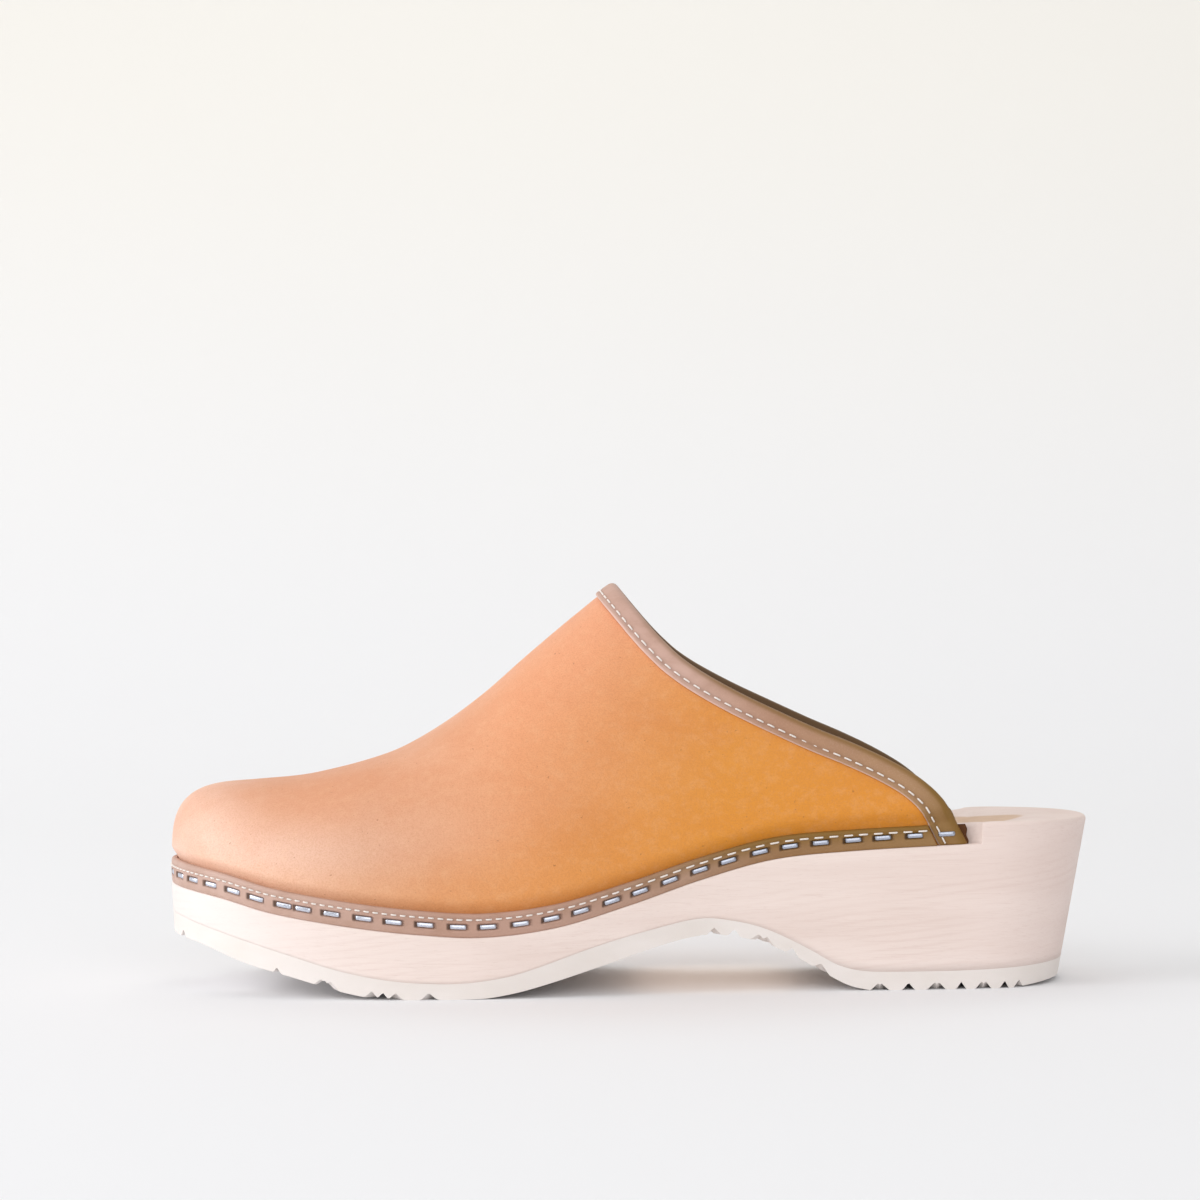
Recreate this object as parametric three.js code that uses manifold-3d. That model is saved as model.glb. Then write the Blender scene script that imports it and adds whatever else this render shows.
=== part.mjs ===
// A wooden clog for the left foot, in millimetres, +Z up.
// The toe points to -X and the heel to +X; the outer (lateral) side of the foot is at -Y.
// It stands on its rubber outsole at z = 0, and the origin is under the middle of its box.

import * as THREE from 'three';
import { mergeVertices } from 'three/addons/utils/BufferGeometryUtils.js';
import Module from 'manifold-3d';

const wasm = await Module();
wasm.setup();

// ---------- Driving dimensions ----------

const TOE_X = -129.1;            // foremost point of the wood
const HEEL_X = 129.1;            // rearmost point of the heel rim
const LENGTH = HEEL_X - TOE_X;
const CENTRE_Y = 3;              // centre line of the upper, nearer the big toe
const RIM_Z = 46.3;              // top of the wooden heel rim

const FIT_GAP = 0.3;             // clearance between pieces that touch
const STRIP_THICKNESS = 1.7;
const LEATHER_THICKNESS = 2.1;
const LEATHER_INSET = STRIP_THICKNESS + FIT_GAP;
const REBATE_DEPTH = LEATHER_INSET + LEATHER_THICKNESS + 0.6;
const REBATE_END_X = 91.5;       // here the round cutter leaves the wood
const CUTTER_RADIUS = 6;
const UPPER_REAR_X = 93.2;       // rear end of the collar, at the ledge

const BINDING_WIDTH = 6.7;
const BINDING_THICKNESS = 0.9;
const BINDING_GAP = 0.45;
const COLLAR_INSIDE = 1.9;       // the cut edge of the leather, measured in from the collar
const BINDING_FRONT_X = 84.0;    // where the lower edge of the binding meets the ledge
const STRIP_END_X = BINDING_FRONT_X - 0.8;
const STRIP_END_LEAN = 0.45;     // its cut end leans forward, along the edge of the binding

const PUFF_THICKNESS = 1;
const PUFF_REACH = 0.27;         // part of the way from the toe to the collar

const STAPLE_CROWN = 4.9;
const STAPLE_WIRE_HEIGHT = 1.35;
const STAPLE_WIRE_THICKNESS = 0.75;
const STAPLE_DEPTH = 1.3;
const SLOT_LENGTH = 5.9;
const SLOT_HEIGHT = 2;
const INNER_STAPLES = 23;
const OUTER_STAPLES = 29;
const STAPLE_PITCH = 8.65;
const STAPLE_WOBBLE = 0.45;       // the staples are driven by hand, so their gaps vary a little
const WOBBLE_TURN = 2.4;
const CLOSE_PAIR = 21;            // this gap of the outer side, from the heel end, is shorter
const CLOSE_GAP = 5.9;

const THREAD_RADIUS = 0.3;
const COLLAR_THREAD_DISTANCE = 5;

const LATERAL = -1;
const MEDIAL = 1;

// ---------- Small mathematics ----------

// A smooth function through a few [x, value] points, flat beyond its ends.
function smoothCurve(points) {
  const slope = (index) => {
    const before = points[Math.max(index - 1, 0)];
    const after = points[Math.min(index + 1, points.length - 1)];
    return (after[1] - before[1]) / (after[0] - before[0]);
  };
  return (x) => {
    const last = points.length - 1;
    if (x <= points[0][0]) return points[0][1];
    if (x >= points[last][0]) return points[last][1];
    const index = points.findIndex((point) => point[0] > x) - 1;
    const [x0, v0] = points[index];
    const [x1, v1] = points[index + 1];
    const span = x1 - x0;
    const s = (x - x0) / span;
    const bend = s * s * (3 - 2 * s);
    const lead = slope(index) * span * s * (1 - s) * (1 - s);
    const trail = slope(index + 1) * span * s * s * (1 - s);
    return v0 + (v1 - v0) * bend + lead - trail;
  };
}

function smoothStep(from, to, value) {
  return THREE.MathUtils.smoothstep(value, from, to);
}

function roundEnd(u, power) {
  return Math.sqrt(Math.max(0, 1 - Math.max(0, Math.min(1, u)) ** power));
}

// ---------- Plan outline of the sole ----------

const TOE_ROUND = 71.1;          // length of the rounded toe end of the outline
const HEEL_ROUND = 34.1;
const outlineWidth = {
  [LATERAL]: smoothCurve([[-58, 47], [-40, 46.3], [-20, 43.6], [0, 39.2], [25, 34.6],
    [50, 32], [75, 31], [95, 30.8]]),
  [MEDIAL]: smoothCurve([[-58, 47], [-40, 45.6], [-20, 41], [0, 34.5], [20, 30.2],
    [50, 29.6], [75, 30.6], [95, 30.8]]),
};
const toePower = { [LATERAL]: 2, [MEDIAL]: 2.3 };

function outlineY(side, x) {
  const toe = (TOE_X + TOE_ROUND - x) / TOE_ROUND;
  const heel = (x - HEEL_X + HEEL_ROUND) / HEEL_ROUND;
  const width = outlineWidth[side](x) * roundEnd(toe, toePower[side]) * roundEnd(heel, 3);
  const shift = CENTRE_Y * Math.max(0, toe) ** 4;
  return side * width + shift;
}

// Stations from the toe (0) to the heel (1), close together at both round ends.
function stationX(t) {
  return TOE_X + LENGTH * (1 - Math.cos(Math.PI * t)) / 2;
}

function stationOf(x) {
  return Math.acos(THREE.MathUtils.clamp(1 - 2 * (x - TOE_X) / LENGTH, -1, 1)) / Math.PI;
}

// A point of the outline with the inward direction across its edge.
function edgeAt(side, t) {
  const x = stationX(t);
  const step = 1e-3;
  if (t < step) return { x: TOE_X, y: outlineY(side, TOE_X), inX: 1, inY: 0 };
  if (t > 1 - step) return { x: HEEL_X, y: outlineY(side, HEEL_X), inX: -1, inY: 0 };
  const dx = stationX(t + step) - stationX(t - step);
  const dy = outlineY(side, stationX(t + step)) - outlineY(side, stationX(t - step));
  const size = Math.hypot(dx, dy);
  return { x, y: outlineY(side, x), inX: side * dy / size, inY: -side * dx / size };
}

function insetPoint(side, t, inset, z) {
  const edge = edgeAt(side, t);
  return new THREE.Vector3(edge.x + edge.inX * inset, edge.y + edge.inY * inset, z);
}

// ---------- Side profiles ----------

// The ledge that carries the upper and its welt strip.
const ledgeZ = smoothCurve([[-129, 28.9], [-113, 26.5], [-99, 23.2], [-79, 20.1], [-59, 17.8],
  [-40, 16.8], [-20, 19.1], [0, 24.7], [19, 31], [39, 36.3], [59, 38.3], [93, 40], [129, 41]]);
const wallHeight = smoothCurve([[-129, 7.5], [-50, 7], [30, 5.4], [92, 5.6], [100, 6]]);
const cupDepth = smoothCurve([[-129, 4], [-60, 5], [20, 5], [62, 3.2], [88, 3.3], [101, 2.2],
  [113, 0.5], [124, 0]]);
const woodBottomZ = smoothCurve([[-129, 21], [-112, 16.8], [-94, 11.9], [-79, 7.7], [-66, 5.3],
  [-53, 4.3], [-43, 4.6], [-31, 6.6], [-10, 13.5], [6, 17.9], [19.5, 20.6], [29, 19.6],
  [36, 17.8], [43, 14.8], [50, 11.1], [56.5, 7.4], [62, 5.7], [68, 5.1], [100, 5.3], [129, 6.6]]);
const outsoleBottomZ = smoothCurve([[-129, 15], [-120, 13.6], [-106, 9.2], [-92, 5.7],
  [-79, 2.2], [-70, 0.4], [-66, 0]]);
const archBottomZ = smoothCurve([[-46, 0], [-38, 0.4], [-27, 2.6], [-7, 8.6], [6, 12.8],
  [15, 15.2], [22, 16.1], [29, 15.4], [37, 13.4], [46, 9.3], [54, 4.6], [60, 1.5], [66, 0]]);
const heelBottomZ = smoothCurve([[112, 0], [129, 1.6]]);

function undersideZ(x) {
  return outsoleBottomZ(x) + archBottomZ(x) + heelBottomZ(x);
}

function rimZ(x) {
  return THREE.MathUtils.lerp(ledgeZ(x) + wallHeight(x), RIM_Z, smoothStep(92, 112, x));
}

function rebateDepth(x) {
  const past = Math.max(0, x - REBATE_END_X);
  const reach = CUTTER_RADIUS ** 2 - past ** 2;
  if (reach <= 0) return 0;
  return Math.max(0, REBATE_DEPTH - CUTTER_RADIUS + Math.sqrt(reach));
}

// The heel tapers towards the ground, and the toe edge leans back a little.
function leanedPoint(point) {
  const below = Math.max(0, RIM_Z - point.z);
  const heelShift = 0.187 * below * smoothStep(80, HEEL_X, point.x);
  const toeShift = 0.12 * Math.max(0, 29 - point.z) * (1 - smoothStep(TOE_X, -100, point.x));
  const squeeze = 1 - 0.0016 * below * smoothStep(70, 110, point.x);
  return new THREE.Vector3(point.x - heelShift + toeShift, point.y * squeeze, point.z);
}

// ---------- Surface of the upper ----------

const TOE_RISE = 22;             // length over which the toe cap rises to its full height
const TOE_RISE_POWERS = [2.7, 3.4];
const TUCK_FROM = 6;             // the leather is tucked under the strip up to this height
const TUCK_TO = 11.2;
const ridgeZ = smoothCurve([[-129, 56.2], [-119, 56.7], [-105, 57.5], [-88.5, 59.1], [-68, 64.6],
  [-54.6, 71.6], [-41, 81.2], [-27.4, 93.1], [-14, 104.2], [-3, 112], [30, 125], [60, 121],
  [96, 104]]);
const fullness = smoothCurve([[-129, 0.2], [-70, 0.17], [-20, 0.02], [20, -0.04], [96, 0]]);
const collarZ = smoothCurve([[-3, 112], [0.6, 107.5], [3.8, 103.6], [7.3, 99.5], [10.8, 95.8],
  [14.6, 92.3], [20.6, 88.1], [30.5, 82.5], [42, 76.9], [52, 72.3], [62.4, 68], [72.8, 63],
  [80.5, 58.2], [86.4, 52.6], [89.8, 46.8], [93.2, 40.3]]);

// The medial side of the collar is cut a little higher than the lateral side.
const medialRise = smoothCurve([[5, 0], [28, 0.9], [48, 1.2], [64, 0.5], [76, 0]]);

// The toe cap rises steeply from the ledge and rounds over to its full height.
function archHeight(x) {
  const [along, over] = TOE_RISE_POWERS;
  const toe = Math.max(0, Math.min(1, (TOE_X + TOE_RISE - x) / TOE_RISE));
  return (ridgeZ(x) - ledgeZ(x) - FIT_GAP) * (1 - toe ** along) ** (1 / over);
}

// The angle runs over the arch from the lateral ledge (0) to the medial ledge (pi).
function upperPoint(x, angle) {
  const side = Math.cos(angle) >= 0 ? LATERAL : MEDIAL;
  const rise = Math.sin(angle);
  const spread = Math.abs(Math.cos(angle)) * (1 + fullness(x) * rise * rise);
  const height = archHeight(x) * rise;
  const edge = edgeAt(side, stationOf(x));
  const tuck = LEATHER_INSET * (1 - smoothStep(TUCK_FROM, TUCK_TO, height));
  return new THREE.Vector3(
    x + edge.inX * tuck,
    CENTRE_Y + (edge.y - CENTRE_Y) * spread + edge.inY * tuck * Math.abs(Math.cos(angle)),
    ledgeZ(x) + FIT_GAP + height,
  );
}

function upperTangents(x, angle) {
  const dx = Math.min(0.4, (x - TOE_X) * 0.05);
  const da = 0.01;
  const along = upperPoint(x + dx, angle).sub(upperPoint(x - dx, angle)).divideScalar(2 * dx);
  const over = upperPoint(x, angle + da).sub(upperPoint(x, angle - da)).divideScalar(2 * da);
  return { along, over };
}

function upperNormal(x, angle) {
  if (x - TOE_X < 1e-3) return new THREE.Vector3(-1, 0, 0);
  const { along, over } = upperTangents(x, angle);
  return new THREE.Vector3().crossVectors(along, over).normalize();
}

// Where the collar, or a line a little inside it, crosses the arch at this angle.
function collarX(angle, inside = 0) {
  let low = -3 - inside;
  let high = UPPER_REAR_X;
  for (let round = 0; round < 40; round += 1) {
    const middle = (low + high) / 2;
    const height = ledgeZ(middle) + FIT_GAP + archHeight(middle) * Math.sin(angle);
    const slope = collarZ(middle + 0.5) - collarZ(middle - 0.5);
    const rise = medialRise(middle) * smoothStep(0, 0.5, -Math.cos(angle));
    const edge = collarZ(middle) + rise - inside * Math.hypot(1, slope);
    if (height < edge) low = middle;
    else high = middle;
  }
  return (low + high) / 2;
}

// ---------- Geometry helpers ----------

function signedVolume(points, faces) {
  let volume = 0;
  for (let i = 0; i < faces.length; i += 3) {
    const [a, b, c] = [points[faces[i]], points[faces[i + 1]], points[faces[i + 2]]];
    volume += a.dot(new THREE.Vector3().crossVectors(b, c)) / 6;
  }
  return volume;
}

// One closed body whose faces are turned outward.
function geometryFrom(points, faces) {
  if (signedVolume(points, faces) < 0) faces.reverse();
  const loose = new THREE.BufferGeometry();
  const positions = points.flatMap((point) => [point.x, point.y, point.z]);
  loose.setAttribute('position', new THREE.Float32BufferAttribute(positions, 3));
  loose.setIndex(faces);
  const merged = mergeVertices(loose, 1e-3);
  const index = merged.getIndex().array;
  const kept = [];
  for (let i = 0; i < index.length; i += 3) {
    const [a, b, c] = [index[i], index[i + 1], index[i + 2]];
    if (a !== b && b !== c && c !== a) kept.push(a, b, c);
  }
  merged.setIndex(kept);
  return merged;
}

// Quads between neighbouring closed loops; a cap is a list of triangles over one loop.
function loftedLoops(loops, cap = []) {
  const size = loops[0].length;
  const faces = [];
  for (let row = 0; row < loops.length - 1; row += 1) {
    for (let column = 0; column < size; column += 1) {
      const a = row * size + column;
      const b = row * size + (column + 1) % size;
      faces.push(a, b, a + size, b, b + size, a + size);
    }
  }
  const last = (loops.length - 1) * size;
  for (const [a, b, c] of cap) {
    faces.push(a, c, b);
    faces.push(last + a, last + b, last + c);
  }
  return geometryFrom(loops.flat(), faces);
}

function sectionCap(section) {
  const outline = section.map(([u, v]) => new THREE.Vector2(u, v));
  return THREE.ShapeUtils.triangulateShape(outline, []);
}

function toManifold(geometry) {
  const bare = new THREE.BufferGeometry();
  bare.setAttribute('position', geometry.getAttribute('position').clone());
  if (geometry.getIndex()) bare.setIndex(geometry.getIndex().clone());
  const merged = mergeVertices(bare, 1e-4);
  const vertProperties = new Float32Array(merged.getAttribute('position').array);
  const triVerts = new Uint32Array(merged.getIndex().array);
  return new wasm.Manifold(new wasm.Mesh({ numProp: 3, vertProperties, triVerts }));
}

function fromManifold(solid) {
  const { vertProperties, triVerts } = solid.getMesh();
  const geometry = new THREE.BufferGeometry();
  geometry.setAttribute('position', new THREE.BufferAttribute(vertProperties, 3));
  geometry.setIndex(new THREE.BufferAttribute(triVerts, 1));
  return geometry;
}

function subtractAll(geometry, cutters) {
  const solid = cutters.reduce((left, cutter) => left.subtract(toManifold(cutter)),
    toManifold(geometry));
  return fromManifold(solid);
}

function spread(count, from, to) {
  return Array.from({ length: count + 1 }, (_, i) => from + (to - from) * i / count);
}

// ---------- Wooden sole ----------

const RIM_ROUNDING = 1.3;
const CUTTER_STEPS = [0, 2.4, 4.1, 5.2, 5.8, 6.1];
const BED_FRACTIONS = [-0.85, -0.6, -0.3, 0, 0.3, 0.6, 0.85];

function bedZ(x, fraction, halfWidth) {
  const endFade = halfWidth / (halfWidth + 4);
  return rimZ(x) - cupDepth(x) * endFade * (1 - Math.abs(fraction) ** 3);
}

function soleLoop(t) {
  const x = stationX(t);
  const depth = rebateDepth(x);
  const top = rimZ(x);
  const ledge = Math.min(ledgeZ(x), top - 3);
  const wall = (side) => [
    insetPoint(side, t, 0, woodBottomZ(x)),
    insetPoint(side, t, 0, ledge),
    insetPoint(side, t, depth, ledge),
    insetPoint(side, t, depth, top - RIM_ROUNDING),
    insetPoint(side, t, depth + 0.3 * RIM_ROUNDING, top - 0.3 * RIM_ROUNDING),
    insetPoint(side, t, depth + RIM_ROUNDING, top),
  ];
  const lateral = wall(LATERAL);
  const medial = wall(MEDIAL);
  const left = lateral.at(-1);
  const right = medial.at(-1);
  const halfWidth = left.distanceTo(right) / 2;
  const bed = BED_FRACTIONS.map((fraction) => {
    const point = left.clone().lerp(right, (fraction + 1) / 2);
    point.z = bedZ(x, fraction, halfWidth);
    return point;
  });
  return [...lateral, ...bed, ...medial.reverse()].map(leanedPoint);
}

function soleStations() {
  const cutter = CUTTER_STEPS.map((step) => stationOf(REBATE_END_X + step));
  const middle = REBATE_END_X + CUTTER_RADIUS / 2;
  const regular = spread(52, 0, 1).filter((t) => Math.abs(stationX(t) - middle) > 4.5);
  return [...regular, ...cutter].sort((a, b) => a - b);
}

function woodenSole() {
  return loftedLoops(soleStations().map(soleLoop));
}

// ---------- Rubber outsole ----------

const GROOVE_WIDTH = 3.5;
const GROOVE_DEPTH = 2;
const GROOVE_PERIOD = 16;
const GROOVE_OFFSETS = [0, 5.3, 10.7];
const GROOVE_ZONES = [[-129, -120], [-97, -53], [20, 57], [67.5, 113]];

function outsoleLoop(t) {
  const x = stationX(t);
  const top = woodBottomZ(x) - FIT_GAP;
  const corners = [[LATERAL, top], [LATERAL, undersideZ(x)], [MEDIAL, undersideZ(x)], [MEDIAL, top]];
  return corners.map(([side, z]) => leanedPoint(insetPoint(side, t, 0, z)));
}

function grooveCentres() {
  const centres = [];
  for (const [from, to] of GROOVE_ZONES) {
    for (let start = from; start < to; start += GROOVE_PERIOD) {
      centres.push(...GROOVE_OFFSETS.map((offset) => start + offset).filter((x) => x < to));
    }
  }
  return centres;
}

// A V-shaped groove right across the outsole, square to its underside.
function grooveCutter(x) {
  const slope = Math.atan2(undersideZ(x + 1) - undersideZ(x - 1), 2);
  const half = GROOVE_WIDTH / 2 + 0.6;
  const shape = new THREE.Shape();
  shape.moveTo(-half, -0.7);
  shape.lineTo(half, -0.7);
  shape.lineTo(0, GROOVE_DEPTH);
  shape.closePath();
  const cutter = new THREE.ExtrudeGeometry(shape, { depth: 120, bevelEnabled: false });
  cutter.rotateX(Math.PI / 2);
  cutter.rotateY(-slope);
  cutter.translate(x, 60, undersideZ(x));
  return cutter;
}

function rubberOutsole() {
  const body = loftedLoops(spread(60, 0, 1).map(outsoleLoop));
  return subtractAll(body, grooveCentres().map(grooveCutter));
}

// ---------- Leather upper and toe puff ----------

// Heights above the ledge where the tucked band of leather is bent.
const TUCK_HEIGHTS = [6.2, 8.6, 11.2];

// Angles over the arch: a few low ones that follow the tuck, then even steps over the top.
function archAngles(columns, height) {
  const even = Math.PI / columns;
  const low = TUCK_HEIGHTS.map((up, i) => Math.min(even * (i + 1), Math.asin(Math.min(1, up / height))));
  const over = spread(columns / 2 - low.length, low.at(-1), Math.PI / 2);
  const half = [0, ...low.slice(0, -1), ...over];
  return [...half, ...half.slice(0, -1).reverse().map((angle) => Math.PI - angle)];
}

// Extra rows close to the tip, where the toe cap rises from the ledge.
const TIP_ROWS = [0.0003, 0.0009];

// A closed shell between two offsets of the upper's surface. Its free edge is the collar's
// shape, shrunk towards the toe: reach 0 is the toe and reach 1 the collar.
function upperShell(reach, outer, inner, rows, columns) {
  const regular = spread(rows - 1, 1 / rows, 1);
  const reaches = [0, ...TIP_ROWS, ...regular.map((s) => reach * (1 - Math.cos(s * Math.PI / 2)))];
  const skin = (offset, position, angle) => {
    const x = TOE_X + position * (collarX(angle, COLLAR_INSIDE) - TOE_X);
    return upperPoint(x, angle).addScaledVector(upperNormal(x, angle), offset);
  };
  const loops = reaches.map((position) => {
    const angles = archAngles(columns, archHeight(TOE_X + position * (UPPER_REAR_X - TOE_X)) + 1e-6);
    return [
      ...angles.map((angle) => skin(inner, position, angle)),
      ...angles.map((angle) => skin(outer, position, angle)).reverse(),
    ];
  });
  const size = columns + 1;
  const rim = [];
  for (let i = 0; i < columns; i += 1) {
    const [a, b] = [i, i + 1];
    const [c, d] = [2 * size - 1 - i, 2 * size - 2 - i];
    rim.push([a, b, c], [b, d, c]);
  }
  return loftedLoops(loops, rim);
}

function leatherUpper() {
  return upperShell(1, 0, -LEATHER_THICKNESS, 24, 38);
}

// Everything lower than the top of the wooden wall, as one block.
function belowWallBlock(clearance) {
  const shape = new THREE.Shape();
  const xs = spread(12, TOE_X - 2, -50);
  shape.moveTo(xs[0], 0);
  xs.forEach((x) => shape.lineTo(x, ledgeZ(x) + wallHeight(x) + clearance));
  shape.lineTo(xs.at(-1), 0);
  shape.closePath();
  const block = new THREE.ExtrudeGeometry(shape, { depth: 120, bevelEnabled: false });
  block.rotateX(Math.PI / 2);
  block.translate(0, 60, 0);
  return block;
}

function toePuff() {
  const outer = -LEATHER_THICKNESS - 2.6 * FIT_GAP;
  const shell = upperShell(PUFF_REACH, outer, outer - PUFF_THICKNESS, 13, 22);
  return subtractAll(shell, [belowWallBlock(2.2)]);
}

// ---------- Collar binding ----------

// Distance from the collar edge, and offset from the outside of the leather.
const BINDING_TOP = BINDING_GAP + BINDING_THICKNESS;
const BINDING_UNDER = -LEATHER_THICKNESS - BINDING_GAP;
const BINDING_INSIDE = BINDING_UNDER - BINDING_THICKNESS;
const BINDING_SECTION = [
  [BINDING_WIDTH, BINDING_GAP], [BINDING_WIDTH, BINDING_TOP - 0.4], [BINDING_WIDTH - 0.4, BINDING_TOP],
  [2.2, BINDING_TOP], [0.9, BINDING_TOP - 0.5], [0.25, -0.1], [0, -1.05], [0.25, -2],
  [0.9, BINDING_INSIDE + 0.5], [2.2, BINDING_INSIDE], [6.2, BINDING_INSIDE], [6.2, BINDING_UNDER],
  [0.9, BINDING_UNDER], [0.9, BINDING_GAP],
];

const END_FLARE = 0.12;          // the binding widens this much at its lower ends

// Goes from the collar down over the leather. Near its lower end the way turns
// until it follows the ledge, so the binding ends in a cut that lies on the ledge.
function fromCollar(angle, distance, offset) {
  const x = collarX(angle);
  const start = upperPoint(x, angle);
  const normal = upperNormal(x, angle);
  const step = angle < Math.PI / 2 ? 0.01 : -0.01;
  const ahead = upperPoint(collarX(angle + step), angle + step);
  const behind = upperPoint(collarX(angle - step * 0.1), angle - step * 0.1);
  const tangent = ahead.sub(behind).normalize();
  const across = new THREE.Vector3().crossVectors(tangent, normal).normalize();
  if (across.x > 0) across.negate();
  const slope = (ledgeZ(90) - ledgeZ(86)) / 4;
  const alongLedge = new THREE.Vector3(-1, 0, -slope).normalize();
  const turn = 1 - smoothStep(0, 22, start.z - ledgeZ(x));
  const way = across.clone().lerp(alongLedge, turn).normalize();
  const reach = distance * (1 + END_FLARE * turn) / way.dot(across);
  const goal = start.clone().addScaledVector(way, reach);
  const place = { x, angle };
  for (let round = 0; round < 4; round += 1) {
    const { along, over } = upperTangents(place.x, place.angle);
    const miss = goal.clone().sub(upperPoint(place.x, place.angle));
    const [aa, ab, bb] = [along.dot(along), along.dot(over), over.dot(over)];
    const [ma, mb] = [miss.dot(along), miss.dot(over)];
    const scale = aa * bb - ab * ab;
    place.x += (ma * bb - mb * ab) / scale;
    place.angle += (mb * aa - ma * ab) / scale;
  }
  const outward = upperNormal(place.x, place.angle);
  return upperPoint(place.x, place.angle).addScaledVector(outward, offset);
}

// The room that the wooden wall takes up behind each end of the binding.
function wallRoom(side) {
  const front = LEATHER_INSET + LEATHER_THICKNESS + FIT_GAP / 2;
  const section = [[front, -2], [front + 7, -2], [front + 7, 6.2], [front, 6.2]];
  const stations = spread(8, stationOf(72), stationOf(98));
  const loops = stations.map((t) => section.map(([inset, up]) =>
    insetPoint(side, t, inset, ledgeZ(stationX(t)) + up)));
  return loftedLoops(loops, sectionCap(section));
}

function collarBinding(cutters) {
  const loops = spread(52, 0, Math.PI).map((angle) =>
    BINDING_SECTION.map(([distance, offset]) => fromCollar(angle, distance, offset)));
  const strip = loftedLoops(loops, sectionCap(BINDING_SECTION));
  return subtractAll(strip, [wallRoom(LATERAL), wallRoom(MEDIAL), ...cutters]);
}

// ---------- Welt strip ----------

const stripHeight = smoothCurve([[-129, 7], [-100, 6.8], [0, 6.3], [84, 5.7]]);
const stapleHeight = smoothCurve([[-129, 3], [-20, 2.8], [20, 2.8], [84, 3.1]]);
const stitchHeight = smoothCurve([[-129, 4.9], [-110, 5], [0, 4.7], [84, 4.2]]);

// Positions round the toe: -1 is the lateral rear end, 0 the toe and 1 the medial rear end.
function aroundToe(position, endX) {
  const side = position < 0 ? LATERAL : MEDIAL;
  const t = Math.abs(position) * stationOf(endX);
  return { side, t, x: stationX(t) };
}

function stripLoop(position) {
  const { side, t, x } = aroundToe(position, STRIP_END_X);
  const height = stripHeight(x);
  const section = [[STRIP_THICKNESS, FIT_GAP], [0, FIT_GAP], [0, height - 1], [0.3, height - 0.35],
    [0.9, height], [STRIP_THICKNESS, height]];
  const lean = STRIP_END_LEAN * smoothStep(0.97, 1, Math.abs(position));
  return section.map(([inset, up]) =>
    insetPoint(side, lean > 0 ? stationOf(x - lean * up) : t, inset, ledgeZ(x) + up));
}

function weltStrip(cutters) {
  const section = [[0, 0], [1, 0], [1, 1], [0.8, 1.3], [0.5, 1.5], [0, 1.5]];
  const loops = spread(84, -1, 1).map(stripLoop);
  return subtractAll(loftedLoops(loops, sectionCap(section)), cutters);
}

// ---------- Seam threads ----------

function threadAlong(points, steps) {
  const curve = new THREE.CatmullRomCurve3(points);
  const shape = new THREE.Shape();
  shape.moveTo(THREAD_RADIUS, 0);
  [[0, THREAD_RADIUS], [-THREAD_RADIUS, 0], [0, -THREAD_RADIUS]].forEach(([u, v]) => shape.lineTo(u, v));
  shape.closePath();
  return new THREE.ExtrudeGeometry(shape, { steps, extrudePath: curve });
}

function collarThread() {
  const offset = BINDING_TOP + FIT_GAP + THREAD_RADIUS;
  const angles = spread(60, 0.1, Math.PI - 0.1);
  return threadAlong(angles.map((angle) => fromCollar(angle, COLLAR_THREAD_DISTANCE, offset)), 72);
}

function weltThread() {
  const points = spread(90, -0.985, 0.985).map((position) => {
    const { side, t, x } = aroundToe(position, STRIP_END_X);
    return insetPoint(side, t, -FIT_GAP - THREAD_RADIUS, ledgeZ(x) + stitchHeight(x));
  });
  return threadAlong(points, 110);
}

// ---------- Staples ----------

// The last staple of each side clamps the binding.
function edgeLength(side, endX) {
  const steps = spread(200, 0, stationOf(endX));
  const lengths = [0];
  for (let i = 1; i < steps.length; i += 1) {
    const before = insetPoint(side, steps[i - 1], 0, ledgeZ(stationX(steps[i - 1])));
    const after = insetPoint(side, steps[i], 0, ledgeZ(stationX(steps[i])));
    lengths.push(lengths.at(-1) + before.distanceTo(after));
  }
  return { steps, lengths };
}

const STAPLE_END_X = 87.3;

// Places along one side, from the toe to the heel, for gaps listed from the heel end.
function staplePlaces(side, gaps) {
  const { steps, lengths } = edgeLength(side, STAPLE_END_X);
  return Array.from({ length: gaps.length + 1 }, (_, i) => {
    const along = lengths.at(-1) - gaps.slice(0, i).reduce((sum, gap) => sum + gap, 0);
    const index = Math.max(1, lengths.findIndex((length) => length >= along - 1e-9));
    const part = (along - lengths[index - 1]) / (lengths[index] - lengths[index - 1]);
    return { side, t: THREE.MathUtils.lerp(steps[index - 1], steps[index], part) };
  }).reverse();
}

// Turns a shape drawn along X (length), Y (inward) and Z (up) to lie on the strip.
function placedOnStrip(geometry, place, inset) {
  const { side, t } = place;
  const x = stationX(t);
  const edge = edgeAt(side, t);
  const inward = new THREE.Vector3(edge.inX, edge.inY, 0);
  const slope = (ledgeZ(x + 1) - ledgeZ(x - 1)) / 2;
  const flat = new THREE.Vector3(-side * edge.inY, side * edge.inX, 0);
  const along = new THREE.Vector3(flat.x, flat.y, slope * flat.x).normalize();
  const up = new THREE.Vector3().crossVectors(along, inward);
  if (up.z < 0) up.negate();
  const turn = new THREE.Matrix4().makeBasis(new THREE.Vector3().crossVectors(inward, up), inward, up);
  const centre = insetPoint(side, t, inset, ledgeZ(x) + stapleHeight(x));
  return geometry.applyMatrix4(turn.setPosition(centre));
}

function evenGaps(side, count) {
  const pitch = edgeLength(side, STAPLE_END_X).lengths.at(-1) / (count - 0.5);
  return spread(count - 2, pitch, pitch);
}

function outerGaps() {
  return Array.from({ length: OUTER_STAPLES - 1 }, (_, i) => (
    i === CLOSE_PAIR ? CLOSE_GAP : STAPLE_PITCH + STAPLE_WOBBLE * Math.sin(WOBBLE_TURN * i)));
}

function isLastStaple(place) {
  return stationX(place.t) > STAPLE_END_X - 1;
}

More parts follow.
